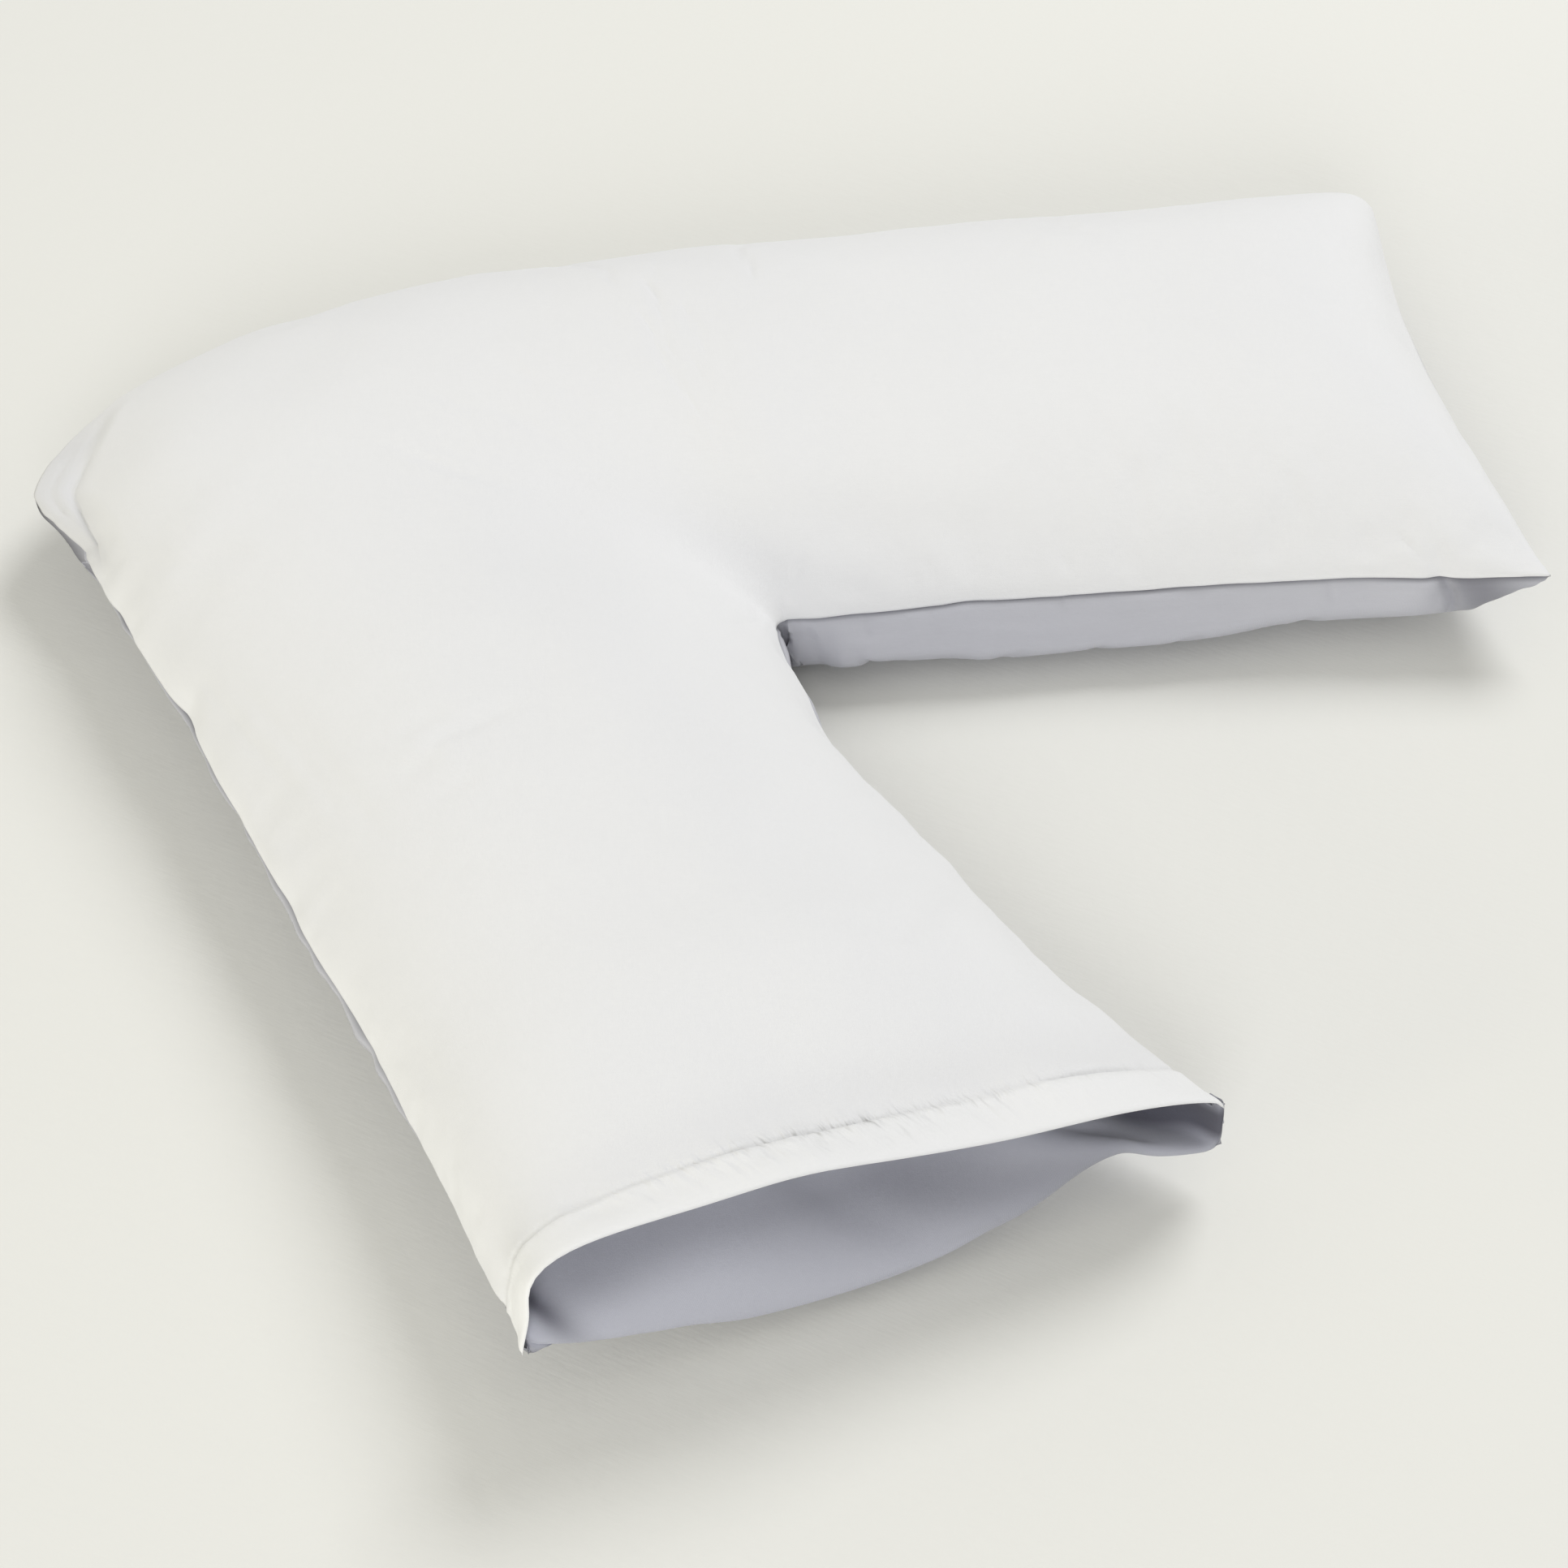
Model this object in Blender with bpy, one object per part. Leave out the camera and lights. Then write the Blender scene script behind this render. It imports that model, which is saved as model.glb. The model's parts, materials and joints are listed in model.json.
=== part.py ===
import bpy
import numpy as np
from collections import namedtuple
from math import radians, sin, cos, tan, pi

for thing in list(bpy.data.objects):
    bpy.data.objects.remove(thing)

# Plan sizes in metres. A place in the plan is given by its arm, how far along
# the arm it lies from the notch corner (a minus is behind it, towards the
# apex) and its reach, the distance out from the arm's inner line.
notch_angle = radians(64.3)
inner_length = 0.461
mouth_outer_length = 0.415
closed_outer_length = 0.422
arm_width = 0.380
ear_behind = 0.322
ear_reach = 0.334
shoulder_behind = 0.139
shoulder_reach = 0.336
notch_round = 0.005

# How far each edge is drawn in at its middle.
mouth_inner_draw = 0.027
closed_inner_draw = 0.013
mouth_outer_draw = 0.0146
closed_outer_draw = 0.003
closed_end_draw = 0.016
closed_end_draw_power = 3

# Behind the ear the apex is one round sweep to the closed arm's shoulder. These
# are the lengths of the sweep's handles and the turn of the first from level.
ear_handle = 0.100
ear_handle_turn = radians(27)
shoulder_handle = 0.110

# The cloth's rise beside a seam, from gentle to a wall.
gentle_power = 2.2
gentle_root = 0.80
wall_power = 4.6

# Cloth and seams. The belly hangs over the floor beside the inner seams.
cloth = 0.0020
gap = 0.0004
floor_press = 0.004
belly_overhang = 0.022
overhang_from_notch = 0.060

# The top panel's edge at the mouth is turned under in a hem.
hem_depth = 0.030
hem_layer = 0.0008
hem_step = 0.0015

# The closed end is a sewn edge that the filling rounds up to.
crown_cap = 0.130
belly_cap = 0.090
cap_power = 2.2
end_strip = 0.0037

# The filling ends in a rounded nose behind the mouth, under the tuck-in flap.
lip_behind_hem = 0.004
nose_length = 0.046
nose_power = 2.3
nose_shares = (0.0, 0.05, 0.16, 0.34, 0.62)
belly_nose_length = 0.075
flap_tuck = 0.085
flap_ease = 0.030

across_count = 18
arm_count = 13
mouth_side_count = 8
apex_count = 12
closed_side_count = 4
crowding_at_end = 1.35

# Sizes along the pillow's run. run is 0 at the mouth, 1 where the fan round
# the notch begins, 2 at the mouth arm's ear, 3 at the shoulder, 4 where the
# fan ends and 5 at the closed end. The last four say how square the cloth
# stands beside its seam: at 0 it slopes off gently, at 1 it is a wall.
Girth = namedtuple("Girth", "run inner_seam outer_seam inner_crown outer_crown "
                            "inner_top outer_top inner_belly outer_belly")
girths = (
    Girth(0.00, 0.060, 0.046, 0.018, 0.078, 0.60, 1.00, 0.30, 0.20),
    Girth(0.12, 0.060, 0.047, 0.034, 0.076, 0.35, 0.75, 0.35, 0.15),
    Girth(0.50, 0.056, 0.050, 0.066, 0.070, 0.10, 0.30, 0.45, 0.10),
    Girth(1.00, 0.046, 0.050, 0.072, 0.070, 0.05, 0.20, 0.80, 0.10),
    Girth(2.00, 0.046, 0.051, 0.074, 0.070, 0.05, 0.15, 0.90, 0.10),
    Girth(2.50, 0.046, 0.052, 0.075, 0.070, 0.05, 0.10, 0.90, 0.20),
    Girth(3.00, 0.046, 0.053, 0.075, 0.070, 0.05, 0.15, 0.90, 0.20),
    Girth(4.00, 0.047, 0.056, 0.072, 0.068, 0.10, 0.20, 0.85, 0.30),
    Girth(4.50, 0.049, 0.056, 0.068, 0.066, 0.15, 0.25, 0.60, 0.30),
    Girth(5.00, 0.054, 0.055, 0.064, 0.064, 0.20, 0.30, 0.45, 0.30),
)

# The mouth's lower lip: its height at each share of the way from the inner
# corner to the outer one. The first tenth is the case's empty corner.
Lip = namedtuple("Lip", "share height")
lips = (
    Lip(0.000, 0.060),
    Lip(0.010, 0.031),
    Lip(0.070, 0.036),
    Lip(0.140, 0.045),
    Lip(0.210, 0.034),
    Lip(0.300, 0.021),
    Lip(0.450, 0.013),
    Lip(0.600, 0.016),
    Lip(0.760, 0.026),
    Lip(0.880, 0.037),
    Lip(0.970, 0.041),
    Lip(1.000, 0.046),
)

# Corners where the case runs past its filling and lies thin.
Ear = namedtuple("Ear", "corner size thinning")
ears = (
    Ear("mouth_ear", 0.055, 0.80),
    Ear("closed_inner", 0.040, 0.30),
)

half_angle = notch_angle / 2
along_of = {
    "mouth": np.array([-sin(half_angle), -cos(half_angle)]),
    "closed": np.array([sin(half_angle), -cos(half_angle)]),
}
out_of = {
    "mouth": np.array([-cos(half_angle), sin(half_angle)]),
    "closed": np.array([cos(half_angle), sin(half_angle)]),
}


def place(arm, along, reach):
    return along * along_of[arm] + reach * out_of[arm]


corner = {
    "mouth_inner": place("mouth", inner_length, 0),
    "mouth_outer": place("mouth", mouth_outer_length, arm_width),
    "mouth_ear": place("mouth", -ear_behind, ear_reach),
    "shoulder": place("closed", -shoulder_behind, shoulder_reach),
    "closed_outer": place("closed", closed_outer_length, arm_width),
    "closed_inner": place("closed", inner_length, 0),
}
tangent = notch_round / tan(half_angle)
notch_centre = np.array([0.0, -notch_round / sin(half_angle)])


def bowed(start, end, draw, inward, share):
    """A point on an edge that leaves its chord by draw at the middle."""
    return start + (end - start) * share + inward * draw * 4 * share * (1 - share)


def table_value(rows, by, column, where):
    """A smooth curve through one column of a table, with no overshoot."""
    xs = np.array([getattr(row, by) for row in rows])
    ys = np.array([getattr(row, column) for row in rows])
    k = int(np.clip(np.searchsorted(xs, where) - 1, 0, len(xs) - 2))
    rise = np.diff(ys) / np.diff(xs)
    slopes = np.zeros(len(xs))
    for i in range(1, len(xs) - 1):
        if rise[i - 1] * rise[i] > 0:
            slopes[i] = 2 * rise[i - 1] * rise[i] / (rise[i - 1] + rise[i])
    slopes[0], slopes[-1] = rise[0], rise[-1]
    width = xs[k + 1] - xs[k]
    s = (where - xs[k]) / width
    value = (1 + 2 * s) * (1 - s)**2 * ys[k] + s**2 * (3 - 2 * s) * ys[k + 1]
    return value + width * (s * (1 - s)**2 * slopes[k] - s**2 * (1 - s) * slopes[k + 1])


def rounded_rise(share, power):
    """0 at share 0 and 1 from share 1 on, like a quarter of an ellipse."""
    share = np.clip(share, 0, 1)
    return (1 - (1 - share)**power)**(1 / power)


def swell(side, square):
    """Height across a section, 1 in the middle and 0 on the seams."""
    power = gentle_power + square * (wall_power - gentle_power)
    root = gentle_root + square * (1 / wall_power - gentle_root)
    return (1 - abs(side)**power)**root


def soft_step(share):
    share = np.clip(share, 0, 1)
    return share * share * (3 - 2 * share)


def sweep(share):
    """The round apex from the ear to the shoulder, a cubic on four points."""
    level_turn = np.array([cos(ear_handle_turn), sin(ear_handle_turn)])
    first, last = corner["mouth_ear"], corner["shoulder"]
    second = first + ear_handle * level_turn
    third = last - shoulder_handle * along_of["closed"]
    left = 1 - share
    ends = left**3 * first + share**3 * last
    return ends + 3 * left**2 * share * second + 3 * left * share**2 * third


def outer_point(run):
    """The outer seam in plan: mouth arm, apex, closed arm."""
    if run <= 2:
        turn = (mouth_outer_length - tangent) / (mouth_outer_length + ear_behind)
        share = run * turn if run <= 1 else turn + (run - 1) * (1 - turn)
        start, end = corner["mouth_outer"], corner["mouth_ear"]
        return bowed(start, end, mouth_outer_draw, -out_of["mouth"], share)
    if run <= 3:
        return sweep(run - 2)
    turn = (shoulder_behind + tangent) / (shoulder_behind + closed_outer_length)
    share = (run - 3) * turn if run <= 4 else turn + (run - 4) * (1 - turn)
    start, end = corner["shoulder"], corner["closed_outer"]
    return bowed(start, end, closed_outer_draw, -out_of["closed"], share)


def inner_point(run):
    """The inner seam in plan, round the notch corner."""
    if run <= 1:
        end = place("mouth", tangent, 0)
        return bowed(corner["mouth_inner"], end, mouth_inner_draw, out_of["mouth"], run)
    if run >= 4:
        start = place("closed", tangent, 0)
        return bowed(start, corner["closed_inner"], closed_inner_draw, out_of["closed"], run - 4)
    leaves = outer_point(run) - notch_centre
    angle = np.clip(np.arctan2(leaves[1], leaves[0]), half_angle, pi - half_angle)
    return notch_centre + notch_round * np.array([cos(angle), sin(angle)])


class Section:
    """One line across the pillow. side is -1 on its inner seam, 1 on its outer."""

    def __init__(self, run):
        self.run = run
        self.inner = inner_point(run)
        self.outer = outer_point(run)
        self.across = (self.outer - self.inner) / np.linalg.norm(self.outer - self.inner)
        for column in Girth._fields[1:]:
            setattr(self, column, table_value(girths, "run", column, run))
        self.from_mouth = min(run, 1) * inner_length
        self.from_end = min(5 - run, 1) * inner_length
        self.from_notch = max(1 - run, run - 4, 0) * inner_length

    def plan(self, side):
        spot = self.inner + (self.outer - self.inner) * (1 + side) / 2
        draw = closed_end_draw * (1 - side**2) * max(self.run - 4, 0)**closed_end_draw_power
        return spot - along_of["closed"] * draw

    def seam(self, side):
        return self.inner_seam + (self.outer_seam - self.inner_seam) * soft_step((1 + side) / 2)

    def thinness(self, spot):
        left = 1.0
        for ear in ears:
            far = np.linalg.norm(spot - corner[ear.corner]) / ear.size
            left *= 1 - ear.thinning * np.exp(-far**2)
        return left

    def top(self, side):
        """The cloth's height over the filling, and over the open mouth."""
        spot = self.plan(side)
        crown = self.inner_crown + (self.outer_crown - self.inner_crown) * (1 + side) / 2
        arch = swell(side, self.inner_top if side < 0 else self.outer_top)
        arch *= rounded_rise(self.from_end / crown_cap, cap_power) * self.thinness(spot)
        return np.array([*spot, self.seam(side) + crown * arch])

    def under(self, side):
        """The underside, pressed flat on the floor but for its rounded sides."""
        spot = self.plan(side)
        seam = self.seam(side)
        square = self.inner_belly if side < 0 else self.outer_belly
        depth = swell(side, square)
        depth *= rounded_rise(self.from_end / belly_cap, cap_power) * self.thinness(spot)
        overhang = belly_overhang * square * soft_step(self.from_notch / overhang_from_notch)
        spot = spot + self.across * np.sign(side) * overhang * sin(pi * min(depth, 1))
        floor = max(0.0, seam - (seam + floor_press) * depth)
        lip = min(lip_height(side), seam)
        filled = rounded_rise((self.from_mouth - lip_behind_hem) / belly_nose_length, cap_power)
        return np.array([*spot, floor + (lip - floor) * (1 - filled)])


def lip_height(side):
    return table_value(lips, "share", "height", (1 + side) / 2)


def run_stations():
    """Places of the sections behind the nose, closer together at the closed end."""
    steps = np.linspace(0, 1, arm_count + 1)
    nose_end = nose_length / inner_length
    mouth_arm = list(nose_end + (1 - nose_end) * steps)
    mouth_side = list(1 + np.linspace(0, 1, mouth_side_count + 1)[1:])
    apex = list(2 + np.linspace(0, 1, apex_count + 1)[1:])
    closed_side = list(3 + np.linspace(0, 1, closed_side_count + 1)[1:])
    closed_arm = list(5 - (1 - steps)**crowding_at_end)[1:-1]
    return mouth_arm + mouth_side + apex + closed_side + closed_arm + [5 - end_strip / inner_length, 5.0]


def nose_stations():
    """Places of the sections over the nose, closest together at the lip."""
    swing = nose_length - lip_behind_hem
    return [(lip_behind_hem + share * swing) / inner_length for share in nose_shares]


def grid_normals(grid):
    along = np.gradient(grid, axis=0)
    across = np.gradient(grid, axis=1)
    normals = np.cross(along, across)
    return normals / np.linalg.norm(normals, axis=2, keepdims=True)


sides = -np.cos(np.linspace(0, pi, across_count + 1))


def cloth_grid(runs):
    return np.array([[section.top(side) for side in sides] for section in map(Section, runs)])


def filling_top(runs):
    """The filling's upper face: the cloth's, let down for the flap, and the nose."""
    grid = cloth_grid(runs)
    normals = grid_normals(grid)
    for i, run in enumerate(runs):
        section = Section(run)
        under_flap = soft_step((flap_tuck + flap_ease - section.from_mouth) / flap_ease)
        grid[i] -= normals[i] * (cloth + gap) * under_flap
        past_lip = section.from_mouth - lip_behind_hem
        full = rounded_rise(past_lip / (nose_length - lip_behind_hem), nose_power)
        for j, side in enumerate(sides):
            lip = min(lip_height(side), section.seam(side))
            grid[i, j, 2] = lip + (grid[i, j, 2] - lip) * full
    return grid


def filling_underside(runs):
    return np.array([[section.under(side) for side in sides] for section in map(Section, runs)])


def top_panel_thickness(runs):
    """The sheet's thickness along its run, with the hem's second layer."""
    from_mouth = np.array([Section(run).from_mouth for run in runs])
    hem = 1 - soft_step((from_mouth - hem_depth) / hem_step)
    return (cloth + hem_layer * hem)[:, None, None]


def sheet_on(face, thickness):
    """Points and faces of a sheet that lies a gap above a grid."""
    normals = grid_normals(face)
    front = face + normals * (gap + thickness)
    back = face + normals * gap
    rows, columns = face.shape[:2]
    points = list(front.reshape(-1, 3)) + list(back.reshape(-1, 3))

    def at(i, j, layer):
        return layer * rows * columns + i * columns + j

    faces = []
    for i in range(rows - 1):
        for j in range(columns - 1):
            faces.append((at(i, j, 0), at(i + 1, j, 0), at(i + 1, j + 1, 0), at(i, j + 1, 0)))
            faces.append((at(i, j, 1), at(i, j + 1, 1), at(i + 1, j + 1, 1), at(i + 1, j, 1)))
    rim = [(i, 0) for i in range(rows)]
    rim += [(rows - 1, j) for j in range(1, columns)]
    rim += [(i, columns - 1) for i in range(rows - 2, -1, -1)]
    rim += [(0, j) for j in range(columns - 2, 0, -1)]
    for here, there in zip(rim, rim[1:] + rim[:1]):
        faces.append((at(*here, 0), at(*here, 1), at(*there, 1), at(*there, 0)))
    return points, faces


def lens_between(upper, lower):
    """Points and faces of a solid between two grids that share their rim."""
    rows, columns = upper.shape[:2]
    points = list(upper.reshape(-1, 3))
    below = {}
    for i in range(rows):
        for j in range(columns):
            if i in (0, rows - 1) or j in (0, columns - 1):
                below[i, j] = i * columns + j
            else:
                below[i, j] = len(points)
                points.append(lower[i, j])
    faces = []
    for i in range(rows - 1):
        for j in range(columns - 1):
            here = i * columns + j
            faces.append((here, here + columns, here + columns + 1, here + 1))
            faces.append((below[i, j], below[i, j + 1], below[i + 1, j + 1], below[i + 1, j]))
    return points, faces


def add_piece(name, shape, colour):
    points, faces = shape
    mesh = bpy.data.meshes.new(name)
    mesh.from_pydata([tuple(point) for point in points], [], faces)
    mesh.shade_smooth()
    material = bpy.data.materials.new(name + "_cloth")
    material.use_nodes = True
    shader = material.node_tree.nodes["Principled BSDF"]
    shader.inputs["Base Color"].default_value = (*colour, 1)
    shader.inputs["Roughness"].default_value = 0.85
    shader.inputs["Metallic"].default_value = 0.0
    mesh.materials.append(material)
    piece = bpy.data.objects.new(name, mesh)
    bpy.context.collection.objects.link(piece)


white_cotton = (0.83, 0.84, 0.85)
grey_cotton = (0.42, 0.42, 0.47)

runs = run_stations()
hem_stations = [0.0, 0.5 * hem_depth, hem_depth, hem_depth + hem_step]
cover_runs = [from_mouth / inner_length for from_mouth in hem_stations] + runs
body_runs = nose_stations() + runs
panel_points, panel_faces = sheet_on(cloth_grid(cover_runs), top_panel_thickness(cover_runs))

# The part's origin lies under the middle of the top panel, on the floor.
plan = np.array(panel_points)[:, :2]
shift = np.append(-(plan.min(axis=0) + plan.max(axis=0)) / 2, 0.0)
upper = filling_top(body_runs) + shift
lower = filling_underside(body_runs) + shift
flap_rows = sum(run * inner_length < flap_tuck for run in body_runs)

add_piece("filled_body", lens_between(upper, lower), grey_cotton)
add_piece("top_panel", (np.array(panel_points) + shift, panel_faces), white_cotton)
add_piece("closure_flap", sheet_on(upper[:flap_rows], cloth), grey_cotton)
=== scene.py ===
import json
from math import cos, pi, radians, sin, tan

import bpy
import numpy as np
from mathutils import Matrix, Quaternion, Vector
from mathutils.bvhtree import BVHTree

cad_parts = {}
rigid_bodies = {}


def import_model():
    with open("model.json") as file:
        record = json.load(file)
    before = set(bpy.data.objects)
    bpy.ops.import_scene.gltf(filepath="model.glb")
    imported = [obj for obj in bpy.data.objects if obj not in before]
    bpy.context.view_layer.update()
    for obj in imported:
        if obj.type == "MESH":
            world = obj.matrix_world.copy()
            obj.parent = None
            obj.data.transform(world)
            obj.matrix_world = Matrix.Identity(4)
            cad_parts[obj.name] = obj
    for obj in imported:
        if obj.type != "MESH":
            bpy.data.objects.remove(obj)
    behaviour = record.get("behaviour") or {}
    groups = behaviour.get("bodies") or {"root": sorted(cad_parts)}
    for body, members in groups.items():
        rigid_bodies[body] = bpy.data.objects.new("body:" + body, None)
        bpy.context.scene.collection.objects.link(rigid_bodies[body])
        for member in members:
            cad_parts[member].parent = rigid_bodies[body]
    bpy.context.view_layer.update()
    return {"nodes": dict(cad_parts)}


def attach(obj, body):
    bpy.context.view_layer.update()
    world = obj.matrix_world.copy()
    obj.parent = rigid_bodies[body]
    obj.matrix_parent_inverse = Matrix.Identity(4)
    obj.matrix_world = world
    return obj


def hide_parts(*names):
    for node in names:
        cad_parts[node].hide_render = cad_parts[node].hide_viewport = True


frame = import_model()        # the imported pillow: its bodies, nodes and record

print("frame loaded:", ", ".join(sorted(frame["nodes"])))


# The pillow's plan, in metres. A place is given by its arm, how far along the
# arm it lies from the notch corner and its reach out from the arm's inner line.
pillow = {
    "notchCorner": (-0.00064, -0.03591),  # where the notch corner lies in the frame
    "notchAngle": radians(64.3),
    "notchRound": 0.005,
    "innerLength": 0.461,
    "mouthOuterLength": 0.415,
    "closedOuterLength": 0.422,
    "armWidth": 0.380,
    "earBehind": 0.322,
    "earReach": 0.334,
    "shoulderBehind": 0.139,
    "shoulderReach": 0.336,
    "mouthInnerDraw": 0.027,              # how far each edge is drawn in
    "closedInnerDraw": 0.013,
    "mouthOuterDraw": 0.0146,
    "closedOuterDraw": 0.003,
    "closedEndDraw": 0.016,
    "earHandle": 0.100,                   # the round apex is a cubic on two handles
    "earHandleTurn": radians(27),
    "shoulderHandle": 0.110,
    "innerRise": (2.0, 0.92),             # the gentlest rise beside a seam: power, root
    "outerRise": (2.2, 0.80),
    "wallPower": 4.6,
    "floorPress": 0.004,
    "bellyOverhang": 0.022,
    "notchOverhang": 0.004,
    "mouthArmOverhang": 0.009,
    "overhangGrows": 0.048,
    "crownCap": 0.130,
    "outerCap": 0.26,                     # how much of that cap is left at the outer corner
    "outerCapFade": (0.2, 0.7),           # and where across it dwindles: from, over
    "bellyCap": 0.078,
    "capPower": 2.2,
    "earSize": 0.055,                     # corners where the case lies thin
    "earThinning": 0.80,
    "tipSize": 0.040,
    "tipThinning": 0.24,
    "lipBehindHem": 0.004,
    "noseLength": 0.100,
    "nosePower": 1.45,
    "bellyNoseLength": 0.080,
    "bellyNosePower": 1.25,
    "pocketBelly": (0.070, 0.15),         # how much longer there: by, over how much of the width
    "nosePocket": (0.045, 0.085),         # the empty corner: how deep, and how much of the width
    "noseWall": (0.010, 0.030),           # the same at the mouth's outer corner
    "lipSoft": 0.0001,                    # how gently the filling rises from the lip
    "pocketSoft": 0.012,                  # and at the back of the pocket
}

# Sizes along the run: 0 at the mouth, 1 where the fan round the notch begins,
# 2 at the ear, 3 at the shoulder, 4 where the fan ends, 5 at the closed end.
# The last four say how square the cloth stands beside its seam.
girthColumns = ("run", "innerSeam", "outerSeam", "innerCrown", "outerCrown",
                "innerTop", "outerTop", "innerBelly", "outerBelly")
girths = dict(zip(girthColumns, np.array((
    (0.00, 0.060, 0.046, 0.018, 0.078, 0.60, 1.00, 0.95, 0.20),
    (0.12, 0.060, 0.047, 0.034, 0.076, 0.35, 0.75, 0.60, 0.15),
    (0.50, 0.056, 0.050, 0.066, 0.070, 0.10, 0.30, 0.45, 0.10),
    (0.90, 0.048, 0.050, 0.071, 0.070, 0.06, 0.22, 0.75, 0.10),
    (1.00, 0.046, 0.050, 0.072, 0.070, 0.05, 0.20, 1.50, 0.10),
    (2.00, 0.046, 0.051, 0.074, 0.070, 0.05, 0.15, 1.75, 0.10),
    (2.50, 0.046, 0.052, 0.075, 0.071, 0.05, 0.12, 1.75, 0.20),
    (3.00, 0.046, 0.053, 0.075, 0.072, 0.05, 0.18, 1.75, 0.20),
    (4.00, 0.047, 0.056, 0.072, 0.070, 0.10, 0.26, 1.50, 0.30),
    (4.04, 0.047, 0.056, 0.072, 0.070, 0.10, 0.26, 1.18, 0.30),
    (4.08, 0.047, 0.056, 0.071, 0.070, 0.10, 0.26, 0.96, 0.30),
    (4.12, 0.047, 0.056, 0.071, 0.070, 0.11, 0.26, 0.88, 0.30),
    (4.20, 0.048, 0.056, 0.071, 0.070, 0.12, 0.27, 0.92, 0.30),
    (4.30, 0.048, 0.056, 0.070, 0.070, 0.13, 0.28, 1.06, 0.30),
    (4.50, 0.049, 0.056, 0.068, 0.069, 0.15, 0.29, 1.00, 0.30),
    (4.65, 0.051, 0.056, 0.067, 0.069, 0.17, 0.29, 0.76, 0.30),
    (4.80, 0.052, 0.056, 0.066, 0.069, 0.18, 0.30, 0.62, 0.30),
    (5.00, 0.054, 0.055, 0.064, 0.069, 0.20, 0.30, 0.50, 0.30),
)).T))

# The mouth's lower lip: its height at each share of the way across.
lip = dict(zip(("share", "height"), np.array((
    (0.000, 0.060), (0.006, 0.023), (0.050, 0.028), (0.090, 0.035),
    (0.145, 0.049), (0.210, 0.038), (0.300, 0.023), (0.450, 0.013),
    (0.600, 0.016), (0.700, 0.024), (0.800, 0.034), (0.880, 0.043),
    (0.930, 0.044), (0.970, 0.040), (1.000, 0.046),
)).T))

half = pillow["notchAngle"] / 2
downArm = {"mouth": np.array([-sin(half), -cos(half)]), "closed": np.array([sin(half), -cos(half)])}
outOfArm = {"mouth": np.array([-cos(half), sin(half)]), "closed": np.array([cos(half), sin(half)])}


def spotOn(arm, along, reach):
    return along * downArm[arm] + reach * outOfArm[arm] + np.array(pillow["notchCorner"])


corners = {
    "mouthInner": spotOn("mouth", pillow["innerLength"], 0),
    "mouthOuter": spotOn("mouth", pillow["mouthOuterLength"], pillow["armWidth"]),
    "ear": spotOn("mouth", -pillow["earBehind"], pillow["earReach"]),
    "shoulder": spotOn("closed", -pillow["shoulderBehind"], pillow["shoulderReach"]),
    "closedOuter": spotOn("closed", pillow["closedOuterLength"], pillow["armWidth"]),
    "closedInner": spotOn("closed", pillow["innerLength"], 0),
}
notchTangent = pillow["notchRound"] / tan(half)
notchCentre = np.array(pillow["notchCorner"]) - np.array([0.0, pillow["notchRound"] / sin(half)])


def curveThrough(xs, ys, where):
    # a smooth curve through a table's column, with no overshoot
    rise = np.diff(ys) / np.diff(xs)
    sameWay = rise[:-1] * rise[1:] > 0
    total = np.where(sameWay, rise[:-1] + rise[1:], 1)
    inner = np.where(sameWay, 2 * rise[:-1] * rise[1:] / total, 0)
    slope = np.concatenate([rise[:1], inner, rise[-1:]])
    k = np.clip(np.searchsorted(xs, where) - 1, 0, len(xs) - 2)
    width = xs[k + 1] - xs[k]
    s = (where - xs[k]) / width
    value = (1 + 2 * s) * (1 - s)**2 * ys[k] + s**2 * (3 - 2 * s) * ys[k + 1]
    return value + width * (s * (1 - s)**2 * slope[k] - s**2 * (1 - s) * slope[k + 1])


def smooth(share):
    share = np.clip(share, 0, 1)
    return share * share * (3 - 2 * share)


def fadeIn(place, start, width):
    # 0 up to the start, 1 from one width past it
    return smooth((place - start) / width)


def bell(offset, width):
    return np.exp(-(offset / width)**2)


def atLeast(least, share):
    return least + (1 - least) * share


def roundedRise(share, power):
    return (1 - (1 - np.clip(share, 0, 1))**power)**(1 / power)


def swell(side, square, gentle):
    # 1 in the middle and 0 on the seams, gentle at square 0 and a wall from 1 on
    wall = pillow["wallPower"]
    power = gentle[0] + np.minimum(square, 1) * (wall - gentle[0])
    power = power + np.maximum(square - 1, 0) * wall
    root = gentle[1] + square * (1 / wall - gentle[1])
    return (1 - np.abs(side)**power)**np.where(square > 1, 1 / power, root)


def bowed(start, end, draw, inward, share):
    share = share[:, None]
    return start + (end - start) * share + inward * draw * 4 * share * (1 - share)


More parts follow.
